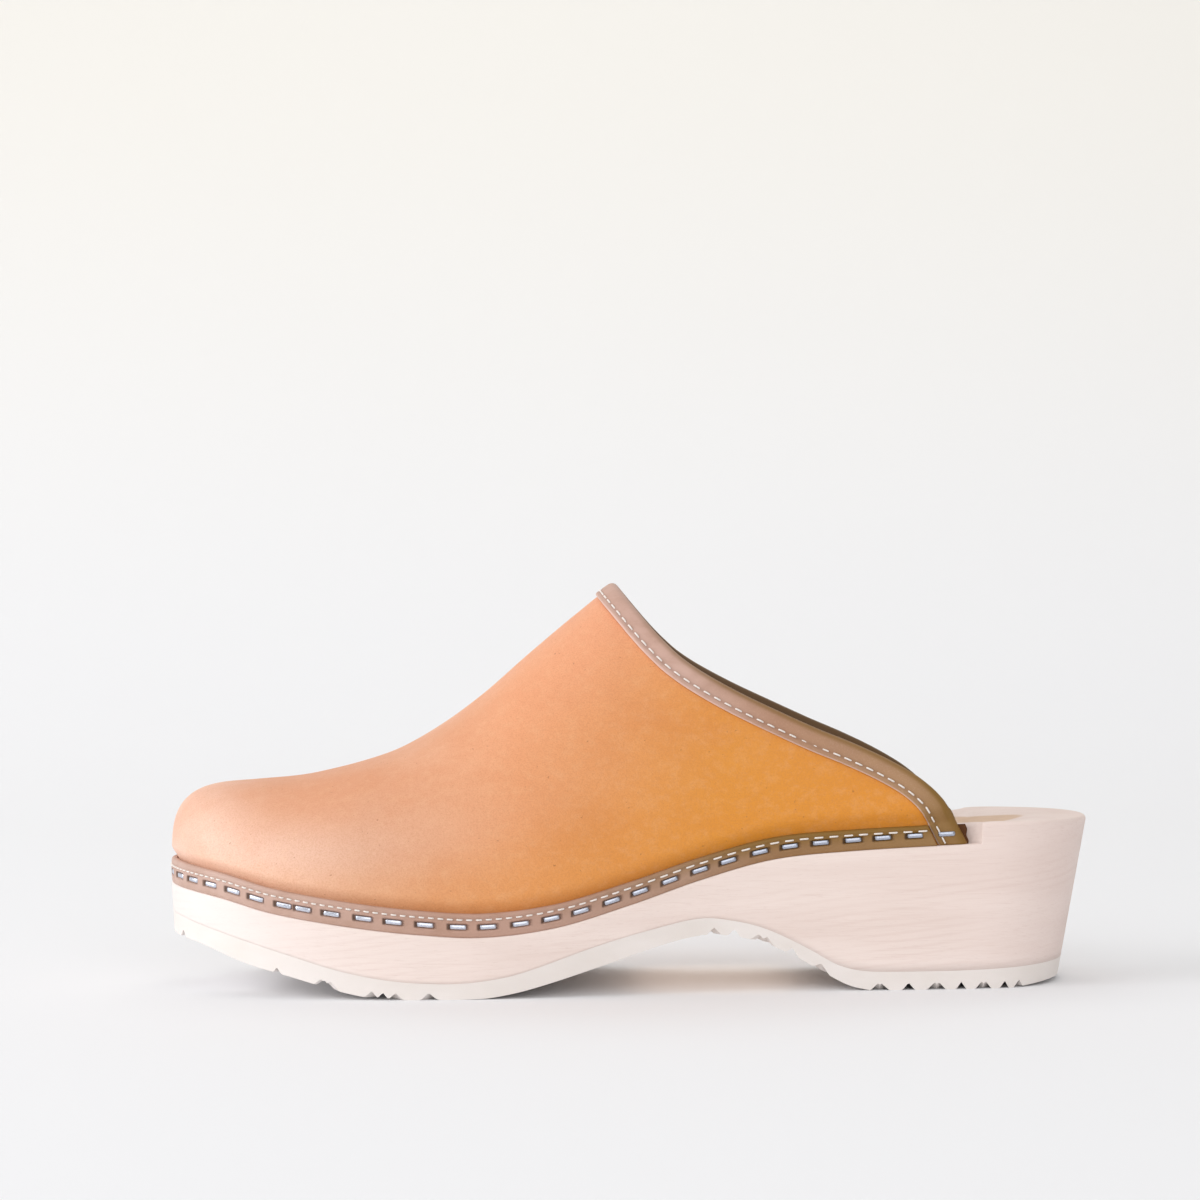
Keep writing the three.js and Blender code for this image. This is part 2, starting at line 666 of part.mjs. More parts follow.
function stapleShape() {
  const half = STAPLE_CROWN / 2;
  const corner = 0.35;
  const shape = new THREE.Shape();
  shape.moveTo(-half + corner, 0);
  shape.lineTo(half - corner, 0);
  shape.lineTo(half, corner);
  shape.lineTo(half, STAPLE_DEPTH);
  shape.lineTo(half - STAPLE_WIRE_THICKNESS, STAPLE_DEPTH);
  shape.lineTo(half - STAPLE_WIRE_THICKNESS, STAPLE_WIRE_THICKNESS);
  shape.lineTo(-half + STAPLE_WIRE_THICKNESS, STAPLE_WIRE_THICKNESS);
  shape.lineTo(-half + STAPLE_WIRE_THICKNESS, STAPLE_DEPTH);
  shape.lineTo(-half, STAPLE_DEPTH);
  shape.lineTo(-half, corner);
  shape.closePath();
  return shape;
}

function staple(place) {
  const wire = new THREE.ExtrudeGeometry(stapleShape(), { depth: STAPLE_WIRE_HEIGHT, bevelEnabled: false });
  wire.translate(0, 0, -STAPLE_WIRE_HEIGHT / 2);
  return placedOnStrip(wire, place, isLastStaple(place) ? 0.45 : 0.1);
}

function stapleSlot(place) {
  const depth = 2 * LEATHER_INSET - 0.2;
  const slot = new THREE.BoxGeometry(SLOT_LENGTH, depth, SLOT_HEIGHT);
  return placedOnStrip(slot, place, 0);
}

// ---------- Assembly ----------

function material(colour, roughness, metalness = 0) {
  return new THREE.MeshStandardMaterial({ color: colour, roughness, metalness });
}

const wood = material(0xe3d8d2, 0.62);
const rubber = material(0xe6ddd5, 0.8);
const leather = material(0xe3a06a, 0.55);
const trimLeather = material(0xa98067, 0.6);
const puffBoard = material(0xcdbfa8, 0.85);
const thread = material(0xe8dcd8, 0.8);
const steel = material(0xb7bbc9, 0.35, 0.9);

const clog = new THREE.Group();

function addPiece(name, geometry, finish) {
  const mesh = new THREE.Mesh(geometry, finish);
  mesh.name = name;
  clog.add(mesh);
}

const outerPlaces = staplePlaces(LATERAL, outerGaps());
const innerPlaces = staplePlaces(MEDIAL, evenGaps(MEDIAL, INNER_STAPLES));
const allPlaces = [...outerPlaces, ...innerPlaces];

addPiece('wooden_sole', woodenSole(), wood);
addPiece('rubber_outsole', rubberOutsole(), rubber);
addPiece('leather_upper', leatherUpper(), leather);
addPiece('toe_puff', toePuff(), puffBoard);
addPiece('collar_binding', collarBinding(allPlaces.filter(isLastStaple).map(stapleSlot)), trimLeather);
addPiece('welt_strip', weltStrip(allPlaces.filter((place) => !isLastStaple(place)).map(stapleSlot)),
  trimLeather);
addPiece('collar_thread', collarThread(), thread);
addPiece('welt_thread', weltThread(), thread);

function addStaples(label, places) {
  places.forEach((place, i) => {
    addPiece(`${label}_staple_${String(i + 1).padStart(2, '0')}`, staple(place), steel);
  });
}

addStaples('outer', outerPlaces);
addStaples('inner', innerPlaces);

clog.updateMatrixWorld(true);
const box = new THREE.Box3().setFromObject(clog);
const middle = box.getCenter(new THREE.Vector3());
clog.position.set(-middle.x, -middle.y, -box.min.z);

export default clog;
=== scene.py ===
"""A wooden clog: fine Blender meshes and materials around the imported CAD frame.

Lengths are in millimetres and are turned into metres when a mesh is made, except for the
stage at the end, which is in metres.
The toe points to -X, the outer side of the foot to -Y, and the clog stands at z = 0.
"""
import math

import bmesh
import bpy
import numpy as np
from mathutils import Euler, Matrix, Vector


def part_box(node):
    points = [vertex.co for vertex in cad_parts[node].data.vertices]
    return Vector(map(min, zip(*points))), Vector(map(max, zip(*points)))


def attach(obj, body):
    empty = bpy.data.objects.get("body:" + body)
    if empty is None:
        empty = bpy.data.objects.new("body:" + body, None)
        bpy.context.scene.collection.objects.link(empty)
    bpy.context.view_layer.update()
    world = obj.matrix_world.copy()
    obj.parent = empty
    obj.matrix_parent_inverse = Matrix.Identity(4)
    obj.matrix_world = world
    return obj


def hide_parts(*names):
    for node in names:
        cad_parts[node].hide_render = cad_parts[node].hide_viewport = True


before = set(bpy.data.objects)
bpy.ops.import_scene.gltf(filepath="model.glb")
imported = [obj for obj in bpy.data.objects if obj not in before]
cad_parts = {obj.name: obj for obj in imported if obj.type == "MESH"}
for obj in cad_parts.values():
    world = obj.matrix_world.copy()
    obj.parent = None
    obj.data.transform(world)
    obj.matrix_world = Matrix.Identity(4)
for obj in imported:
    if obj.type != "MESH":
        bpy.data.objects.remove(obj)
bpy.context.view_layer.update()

MM = 0.001
SCENE = bpy.context.scene
LATERAL, MEDIAL = -1, 1

# ---------- Driving dimensions, within a millimetre of the CAD frame's ----------

TOE_X, HEEL_X = -129.6, 129.09
TOE_X_IN_CAD = -129.1
LENGTH = HEEL_X - TOE_X
CENTRE_Y = 3.0
RIM_Z = 46.3
STRIP_THICKNESS = 1.7
LEATHER_THICKNESS = 2.1
LEATHER_INSET = 1.95
REBATE_DEPTH = 4.6
REBATE_END_X = 91.5
CUTTER_RADIUS = 6.0
UPPER_REAR_X = 93.2
BINDING_WIDTH = 6.7
BINDING_FRONT_X = 84.0
STAPLE_CROWN = 4.9
STAPLE_HEIGHT = 1.35
STAPLE_WIRE = 0.8
STAPLE_LEG = 1.25
STAPLE_SHOULDER = 0.45
STAPLE_SIDES = 12
TOE_SHIFT_IN_CAD = 0.012
FRAME_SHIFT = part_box("wooden_sole")[0].x / MM - TOE_X_IN_CAD - TOE_SHIFT_IN_CAD


# ---------- Small mathematics ----------

def smooth_curve(points):
    """A smooth function through a few (x, value) points, flat beyond its ends."""
    xs = np.array([p[0] for p in points], float)
    vs = np.array([p[1] for p in points], float)
    slopes = np.empty_like(vs)
    slopes[1:-1] = (vs[2:] - vs[:-2]) / (xs[2:] - xs[:-2])
    slopes[0] = (vs[1] - vs[0]) / (xs[1] - xs[0])
    slopes[-1] = (vs[-1] - vs[-2]) / (xs[-1] - xs[-2])

    def value(x):
        x = np.clip(np.asarray(x, float), xs[0], xs[-1])
        i = np.clip(np.searchsorted(xs, x, side="right") - 1, 0, len(xs) - 2)
        span = xs[i + 1] - xs[i]
        s = (x - xs[i]) / span
        bend = s * s * (3 - 2 * s)
        lead = slopes[i] * span * s * (1 - s) ** 2
        trail = slopes[i + 1] * span * s * s * (1 - s)
        return vs[i] + (vs[i + 1] - vs[i]) * bend + lead - trail

    return value


def smooth_step(low, high, value):
    s = np.clip((np.asarray(value, float) - low) / (high - low), 0, 1)
    return s * s * (3 - 2 * s)


def round_end(u, power):
    return np.sqrt(np.maximum(0, 1 - np.clip(u, 0, 1) ** power))


def lengths_along(path):
    """The distance from the start of a path to each of its points."""
    steps = np.linalg.norm(np.diff(path, axis=0), axis=1)
    return np.concatenate([[0], np.cumsum(steps)])


def unit(vectors):
    return vectors / np.maximum(np.linalg.norm(vectors, axis=-1, keepdims=True), 1e-12)


def soft_noise(x, y, seed):
    """A smooth wandering value of about -1 to 1, the same on every run."""
    total = np.zeros(np.broadcast(x, y).shape)
    for k in range(5):
        a = math.sin(seed * 12.9 + k * 78.2) * 3.1
        b = math.cos(seed * 4.7 + k * 37.7) * 3.1
        total = total + np.sin(x * math.cos(a) * (1 + 0.5 * k) + y * math.sin(a) * (1 + 0.4 * k) + b)
    return total / 3.2


# ---------- Plan outline ----------

TOE_ROUND, HEEL_ROUND = 71.1, 34.1
OUTLINE_WIDTH = {
    LATERAL: smooth_curve([(-58, 47), (-40, 46.3), (-20, 43.6), (0, 39.2), (25, 34.6),
                           (50, 32), (75, 31), (95, 30.8)]),
    MEDIAL: smooth_curve([(-58, 47), (-40, 45.6), (-20, 41), (0, 34.5), (20, 30.2),
                          (50, 29.6), (75, 30.6), (95, 30.8)]),
}
TOE_POWER = {LATERAL: 2.0, MEDIAL: 2.3}


def outline_y(side, x):
    toe = (TOE_X + TOE_ROUND - x) / TOE_ROUND
    heel = (x - HEEL_X + HEEL_ROUND) / HEEL_ROUND
    width = OUTLINE_WIDTH[side](x) * round_end(toe, TOE_POWER[side]) * round_end(heel, 3)
    return side * width + CENTRE_Y * np.maximum(0, toe) ** 4


def station_x(t):
    return TOE_X + LENGTH * (1 - np.cos(np.pi * np.asarray(t, float))) / 2


def station_of(x):
    return np.arccos(np.clip(1 - 2 * (np.asarray(x, float) - TOE_X) / LENGTH, -1, 1)) / np.pi


def edge_at(side, t):
    """Outline points with the inward direction across the edge: x, y, in_x, in_y."""
    t = np.asarray(t, float)
    step = 1e-3
    x = station_x(t)
    before, after = np.clip(t - step, 0, 1), np.clip(t + step, 0, 1)
    dx = station_x(after) - station_x(before)
    dy = outline_y(side, station_x(after)) - outline_y(side, station_x(before))
    size = np.hypot(dx, dy)
    in_x, in_y = side * dy / size, -side * dx / size
    in_x = np.where(t < step, 1.0, np.where(t > 1 - step, -1.0, in_x))
    in_y = np.where((t < step) | (t > 1 - step), 0.0, in_y)
    return x, outline_y(side, x), in_x, in_y


def inset_point(side, t, inset, z):
    x, y, in_x, in_y = edge_at(side, t)
    return np.stack(np.broadcast_arrays(x + in_x * inset, y + in_y * inset, z), axis=-1)


# ---------- Side profiles ----------

ledge_z = smooth_curve([(-129, 28.9), (-113, 26.5), (-99, 23.2), (-79, 20.1), (-59, 17.8),
                        (-40, 16.8), (-20, 19.1), (0, 24.7), (19, 31), (39, 36.3), (59, 38.3),
                        (93, 40), (129, 41)])
wall_height = smooth_curve([(-129, 7.5), (-50, 7), (30, 5.4), (92, 5.6), (100, 6)])
wood_bottom_z = smooth_curve([(-129, 21), (-112, 16.8), (-94, 11.9), (-79, 7.7), (-66, 5.3),
                              (-53, 4.3), (-43, 4.6), (-31, 6.6), (-10, 13.5), (6, 17.9),
                              (19.5, 20.6), (29, 19.6), (36, 17.8), (43, 14.8), (50, 11.1),
                              (56.5, 7.4), (62, 5.7), (68, 5.1), (100, 5.3), (129, 6.6)])
toe_bottom_z = smooth_curve([(-129, 15), (-120, 13.6), (-106, 9.2), (-92, 5.7), (-79, 2.2),
                             (-70, 0.4), (-66, 0)])
arch_bottom_z = smooth_curve([(-46, 0), (-38, 0.4), (-27, 2.6), (-7, 8.6), (6, 12.8),
                              (15, 15.2), (22, 16.1), (29, 15.4), (37, 13.4), (46, 9.3),
                              (54, 4.6), (60, 1.5), (66, 0)])
heel_bottom_z = smooth_curve([(112, 0), (129, 1.6)])
cup_depth = smooth_curve([(-129, 4), (-60, 5), (20, 5), (62, 3.2), (88, 3.3), (101, 2.2),
                          (113, 0.5), (124, 0)])


def underside_z(x):
    return toe_bottom_z(x) + arch_bottom_z(x) + heel_bottom_z(x)


def rim_z(x):
    low = ledge_z(x) + wall_height(x)
    return low + (RIM_Z - low) * smooth_step(92, 112, x)


def rebate_depth(x):
    past = np.maximum(0, x - REBATE_END_X)
    reach = np.maximum(0, CUTTER_RADIUS ** 2 - past ** 2)
    return np.maximum(0, REBATE_DEPTH - CUTTER_RADIUS + np.sqrt(reach))


HEEL_LEAN = 0.187
HEEL_TAPER = 0.0016
TOE_LEAN = 0.05
TOE_LEAN_BELOW = 29


def leaned(points):
    """The heel tapers towards the ground and the toe edge leans back a little."""
    x, y, z = points[..., 0], points[..., 1], points[..., 2]
    below = np.maximum(0, RIM_Z - z)
    heel_shift = HEEL_LEAN * below * smooth_step(80, HEEL_X, x)
    toe_shift = TOE_LEAN * np.maximum(0, TOE_LEAN_BELOW - z) * (1 - smooth_step(TOE_X, -100, x))
    squeeze = 1 - HEEL_TAPER * below * smooth_step(70, 110, x)
    return np.stack([x - heel_shift + toe_shift, y * squeeze, z], axis=-1)


# ---------- Surface of the upper ----------

TOE_RISE = 21.0
TOE_RISE_POWERS = (3.0, 4.6)
TUCK_FROM, TUCK_TO = 6.2, 10.4
ridge_z = smooth_curve([(-129, 56.2), (-119, 56.7), (-105, 57.5), (-88.5, 59.1), (-68, 64.6),
                        (-54.6, 71.6), (-41, 81.2), (-27.4, 93.1), (-14, 104.2), (-3, 112),
                        (30, 125), (60, 121), (96, 104)])
fullness = smooth_curve([(-129, 0.2), (-70, 0.17), (-20, 0.02), (20, -0.04), (96, 0)])
collar_z = smooth_curve([(-3, 112), (0.6, 107.5), (3.8, 103.6), (7.3, 99.5), (10.8, 95.8),
                         (14.6, 92.3), (20.6, 88.1), (30.5, 82.5), (42, 76.9), (52, 72.3),
                         (62.4, 68), (72.8, 63), (80.5, 58.2), (86.4, 52.6), (89.8, 46.8),
                         (93.2, 40.3)])
medial_rise = smooth_curve([(5, 0), (28, 0.6), (48, 0.7), (64, 0.3), (76, 0)])
UPPER_LIFT = 0.05
END_FLARE = 0.12


def arch_height(x):
    along, over = TOE_RISE_POWERS
    toe = np.clip((TOE_X + TOE_RISE - x) / TOE_RISE, 0, 1)
    return (ridge_z(x) - ledge_z(x) - UPPER_LIFT) * (1 - toe ** along) ** (1 / over)


def upper_point(x, angle):
    """A point of the outside of the leather; angle 0 is the lateral ledge, pi the medial."""
    x, angle = np.broadcast_arrays(np.asarray(x, float), np.asarray(angle, float))
    cos, rise = np.cos(angle), np.sin(angle)
    height = arch_height(x) * rise
    spread = np.abs(cos) * (1 + fullness(x) * rise ** 2)
    lateral = np.stack(edge_at(LATERAL, station_of(x)))
    medial = np.stack(edge_at(MEDIAL, station_of(x)))
    _, edge_y, in_x, in_y = np.where(cos >= 0, lateral, medial)
    tuck = LEATHER_INSET * (1 - smooth_step(TUCK_FROM, TUCK_TO, height))
    return np.stack([
        x + in_x * tuck,
        CENTRE_Y + (edge_y - CENTRE_Y) * spread + in_y * tuck * np.abs(cos),
        ledge_z(x) + UPPER_LIFT + height,
    ], axis=-1)


def upper_tangents(x, angle):
    dx = np.maximum(np.minimum(0.4, (x - TOE_X) * 0.05), 1e-5)
    da = 0.008
    along = (upper_point(x + dx, angle) - upper_point(x - dx, angle)) / (2 * dx)[..., None]
    over = (upper_point(x, angle + da) - upper_point(x, angle - da)) / (2 * da)
    return along, over


def upper_normal(x, angle):
    x, angle = np.broadcast_arrays(np.asarray(x, float), np.asarray(angle, float))
    along, over = upper_tangents(x, angle)
    normal = unit(np.cross(along, over))
    return np.where((x - TOE_X < 1e-3)[..., None], np.array([-1.0, 0, 0]), normal)


def collar_x(angle, inside=0.0):
    """Where the collar, or a line a little inside it, crosses the arch at this angle."""
    angle = np.asarray(angle, float)
    low = np.full(angle.shape, -3.0 - inside)
    high = np.full(angle.shape, UPPER_REAR_X)
    for _ in range(40):
        middle = (low + high) / 2
        height = ledge_z(middle) + UPPER_LIFT + arch_height(middle) * np.sin(angle)
        slope = collar_z(middle + 0.5) - collar_z(middle - 0.5)
        rise = medial_rise(middle) * smooth_step(0, 0.5, -np.cos(angle))
        under = height < collar_z(middle) + rise - inside * np.hypot(1, slope)
        low, high = np.where(under, middle, low), np.where(under, high, middle)
    return (low + high) / 2


def from_collar(angle, distance, offset):
    """From the collar down over the leather by distance, then out by offset."""
    angle, distance, offset = np.broadcast_arrays(
        np.asarray(angle, float), np.asarray(distance, float), np.asarray(offset, float))
    x = collar_x(angle)
    start, normal = upper_point(x, angle), upper_normal(x, angle)
    step = np.where(angle < np.pi / 2, 0.01, -0.01)
    ahead = upper_point(collar_x(angle + step), angle + step)
    behind = upper_point(collar_x(angle - step * 0.1), angle - step * 0.1)
    across = unit(np.cross(unit(ahead - behind), normal))
    across = np.where(across[..., :1] > 0, -across, across)
    slope = (ledge_z(90) - ledge_z(86)) / 4
    along_ledge = unit(np.array([-1.0, 0, -slope]))
    turn = (1 - smooth_step(0, 22, start[..., 2] - ledge_z(x)))[..., None]
    way = unit(across + (along_ledge - across) * turn)
    reach = distance * (1 + END_FLARE * turn[..., 0]) / np.sum(way * across, axis=-1)
    goal = start + way * reach[..., None]
    place_x, place_angle = x.copy(), angle.copy()
    for _ in range(4):
        along, over = upper_tangents(place_x, place_angle)
        miss = goal - upper_point(place_x, place_angle)
        aa, ab = np.sum(along * along, -1), np.sum(along * over, -1)
        bb = np.sum(over * over, -1)
        ma, mb = np.sum(miss * along, -1), np.sum(miss * over, -1)
        scale = aa * bb - ab * ab
        place_x = place_x + (ma * bb - mb * ab) / scale
        place_angle = place_angle + (mb * aa - ma * ab) / scale
    outward = upper_normal(place_x, place_angle)
    return upper_point(place_x, place_angle) + outward * offset[..., None]


# ---------- Mesh helpers ----------

MERGE_DISTANCE = 0.004


def merge_points(mesh, distance):
    """Join points that coincide, and turn every face outwards."""
    work = bmesh.new()
    work.from_mesh(mesh)
    bmesh.ops.remove_doubles(work, verts=work.verts, dist=distance * MM)
    bmesh.ops.recalc_face_normals(work, faces=work.faces)
    work.to_mesh(mesh)
    work.free()


def new_piece(name, points, faces, material, nodes=(), smooth=True, merge=0.0):
    """An object from points in millimetres, riding on the clog's only body."""
    points = np.asarray(points, float).reshape(-1, 3) + np.array([FRAME_SHIFT, 0, 0])
    mesh = bpy.data.meshes.new(name)
    mesh.from_pydata((points * MM).tolist(), [], faces)
    if merge:
        merge_points(mesh, merge)
    mesh.validate()
    mesh.polygons.foreach_set("use_smooth", [smooth] * len(mesh.polygons))
    mesh.materials.append(material)
    piece = bpy.data.objects.new(name, mesh)
    SCENE.collection.objects.link(piece)
    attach(piece, "root")
    if nodes:
        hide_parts(*nodes)
    return piece


def grid_faces(rows, columns, wrap=False, start=0, flip=False):
    """Quads of a grid of points that is stored row after row."""
    r = np.arange(rows - 1)[:, None]
    c = np.arange(columns if wrap else columns - 1)[None, :]
    n = (c + 1) % columns
    quads = np.stack([r * columns + c, r * columns + n, (r + 1) * columns + n,
                      (r + 1) * columns + c], axis=-1).reshape(-1, 4) + start
    return (quads[:, ::-1] if flip else quads).tolist()


def rim_faces(edges, count):
    """Quads that join the edges of one grid to the same edges of the next, count points on."""
    faces = []
    for edge in edges:
        faces += [[a, b, b + count, a + count] for a, b in zip(edge[:-1], edge[1:])]
    return faces


def end_caps(rows, columns, start=0):
    """The two end faces of a tube whose rings are stored one after another."""
    last = start + (rows - 1) * columns
    return list(range(start, start + columns)), list(range(last, last + columns))


def add_attribute(piece, name, values):
    layer = piece.data.attributes.new(name, "FLOAT", "POINT")
    layer.data.foreach_set("value", np.asarray(values, float).ravel())


# ---------- Material helpers ----------

def srgb(r, g, b):
    """A colour given as 0 to 255 screen values, in linear light."""
    values = [c / 255 for c in (r, g, b)]
    return tuple(c / 12.92 if c <= 0.04045 else ((c + 0.055) / 1.055) ** 2.4 for c in values) + (1,)


WOOD_TONES = (srgb(233, 215, 207), srgb(243, 228, 221))


class Nodes:
    """A short way to build a node tree."""

    def __init__(self, name):
        self.material = bpy.data.materials.new(name)
        self.material.use_nodes = True
        self.tree = self.material.node_tree
        self.shader = self.tree.nodes["Principled BSDF"]

    def add(self, kind, **settings):
        node = self.tree.nodes.new(kind)
        for key, value in settings.items():
            setattr(node, key, value)
        return node

    def link(self, source, target):
        self.tree.links.new(source, target)

    def position(self, scale=(1, 1, 1), rotation=(0, 0, 0)):
        """Object coordinates in millimetres, turned and stretched."""
        coords = self.add("ShaderNodeTexCoord")
        mapping = self.add("ShaderNodeMapping")
        mapping.inputs["Scale"].default_value = [s / MM for s in scale]
        mapping.inputs["Rotation"].default_value = rotation
        self.link(coords.outputs["Object"], mapping.inputs["Vector"])
        return mapping.outputs["Vector"]

    def noise(self, scale, detail=3.0, roughness=0.5, turn=(0, 0, 0)):
        """Noise whose scale along X, Y and Z is given in cycles per millimetre."""
        vector = self.position(scale, turn)
        node = self.add("ShaderNodeTexNoise")
        node.inputs["Scale"].default_value = 1.0
        node.inputs["Detail"].default_value = detail
        node.inputs["Roughness"].default_value = roughness
        self.link(vector, node.inputs["Vector"])
        return node.outputs["Fac"]

    def ramp(self, value, stops):
        node = self.add("ShaderNodeValToRGB")
        ramp = node.color_ramp
        while len(ramp.elements) < len(stops):
            ramp.elements.new(0.5)
        for element, (place, colour) in zip(ramp.elements, stops):
            element.position = place
            element.color = colour
        self.link(value, node.inputs["Fac"])
        return node.outputs["Color"]

    def band(self, value, low, high, to_low=0.0, to_high=1.0):
        node = self.add("ShaderNodeMapRange", interpolation_type="SMOOTHSTEP")
        node.inputs["From Min"].default_value = low
        node.inputs["From Max"].default_value = high
        node.inputs["To Min"].default_value = to_low
        node.inputs["To Max"].default_value = to_high
        self.link(value, node.inputs["Value"])
        return node.outputs["Result"]

    def math(self, operation, a, b=0.0):
        node = self.add("ShaderNodeMath", operation=operation)
        for socket, value in zip(node.inputs, (a, b)):
            if isinstance(value, (int, float)):
                socket.default_value = value
            else:
                self.link(value, socket)
        return node.outputs["Value"]

    def mix(self, factor, a, b):
        node = self.add("ShaderNodeMix", data_type="RGBA")
        for name, value in (("Factor", factor), ("A", a), ("B", b)):
            socket = next(s for s in node.inputs if s.name == name and s.enabled)
            if isinstance(value, (int, float, tuple)):
                socket.default_value = value
            else:
                self.link(value, socket)
        return next(s for s in node.outputs if s.enabled)

    def place(self, turn=(0, 0, 0)):
        vector = self.position(rotation=turn)
        node = self.add("ShaderNodeSeparateXYZ")
        self.link(vector, node.inputs["Vector"])
        return node.outputs

    def attribute(self, name):
        return self.add("ShaderNodeAttribute", attribute_name=name).outputs["Fac"]

    def bump(self, height, distance, strength=1.0, normal=None):
        node = self.add("ShaderNodeBump")
        node.inputs["Distance"].default_value = distance * MM
        node.inputs["Strength"].default_value = strength
        self.link(height, node.inputs["Height"])
        if normal is not None:
            self.link(normal, node.inputs["Normal"])
        return node.outputs["Normal"]

    def finish(self, colour, roughness, normal=None, **sockets):
        self.link(colour, self.shader.inputs["Base Color"])
        if isinstance(roughness, (int, float)):
            self.shader.inputs["Roughness"].default_value = roughness
        else:
            self.link(roughness, self.shader.inputs["Roughness"])
        if normal is not None:
            self.link(normal, self.shader.inputs["Normal"])
        for name, value in sockets.items():
            self.shader.inputs[name.replace("_", " ")].default_value = value
        return self.material


# ---------- Materials ----------

def wood_material():
    """Pale, unvarnished wood whose fine growth lines rise gently towards the heel."""
    n = Nodes("clog_wood")
    turn = (0, math.radians(7), 0)
    warp = n.noise((0.008, 0.016, 0.02), 2, turn=turn)
    lines = n.place(turn)
    rings = n.math("ADD", n.math("MULTIPLY", lines["Z"], 0.46), n.math("MULTIPLY", warp, 5.0))
    wave = n.math("SINE", n.math("MULTIPLY", rings, 2 * math.pi))
    patch = n.noise((0.02, 0.05, 0.12), 3, turn=turn)
    fine = n.noise((0.045, 0.7, 2.6), 4, 0.65, turn=turn)
    pores = n.noise((0.3, 2.4, 7.5), 2, 0.5, turn=turn)
    broad = n.noise((0.014, 0.03, 0.09), 3, turn=turn)
    base = n.ramp(broad, [(0.3, WOOD_TONES[0]), (0.7, WOOD_TONES[1])])
    ring_share = n.math("MULTIPLY", n.band(wave, 0.0, 1.0), n.band(patch, 0.4, 0.7, 0.02, 0.14))
    ringed = n.mix(ring_share, base, srgb(203, 170, 158))
    streaked = n.mix(n.band(fine, 0.5, 0.78, 0.0, 0.24), ringed, srgb(205, 174, 162))
    dashes = n.mix(n.band(pores, 0.6, 0.8, 0.0, 0.26), streaked, srgb(178, 142, 128))
    place = n.place()
    # Painted shade: the wood is painted darker towards the heel, as the light falls from the left.
    heel_painted_shade = n.mix(n.band(place["X"], 60, HEEL_X, 0.0, 0.22), dashes, srgb(205, 178, 172))
    # A tan tint over the cup of the footbed, where the bed attribute is set.
    tan = n.mix(n.band(fine, 0.3, 0.7), srgb(208, 174, 146), srgb(220, 190, 164))
    # Painted highlight: towards the toe the wood is painted paler and greyer, as the light falls from
    # the left.
    toe_painted_highlight = n.mix(n.band(place["X"], TOE_X, -60, 0.6, 0.0), heel_painted_shade, srgb(236, 230, 228))
    colour = n.mix(n.attribute("bed"), toe_painted_highlight, tan)
    rough = n.band(fine, 0.2, 0.8, 0.52, 0.68)
    relief = n.bump(pores, 0.05, 0.5, n.bump(fine, 0.06, 0.5))
    return n.finish(colour, rough, relief, Specular_IOR_Level=0.32)


def rubber_material():
    """Off-white rubber with a faint moulded haze and a little dust."""
    n = Nodes("outsole_rubber")
    haze = n.noise((0.05, 0.05, 0.12), 3)
    grit = n.noise((2.4, 2.4, 2.4), 3)
    base = n.ramp(haze, [(0.3, srgb(230, 222, 216)), (0.7, srgb(237, 230, 226))])
    colour = n.mix(n.band(grit, 0.62, 0.8, 0, 0.12), base, srgb(200, 188, 172))
    return n.finish(colour, n.band(haze, 0.3, 0.7, 0.6, 0.75), n.bump(grit, 0.04, 0.5),
                    Specular_IOR_Level=0.3)


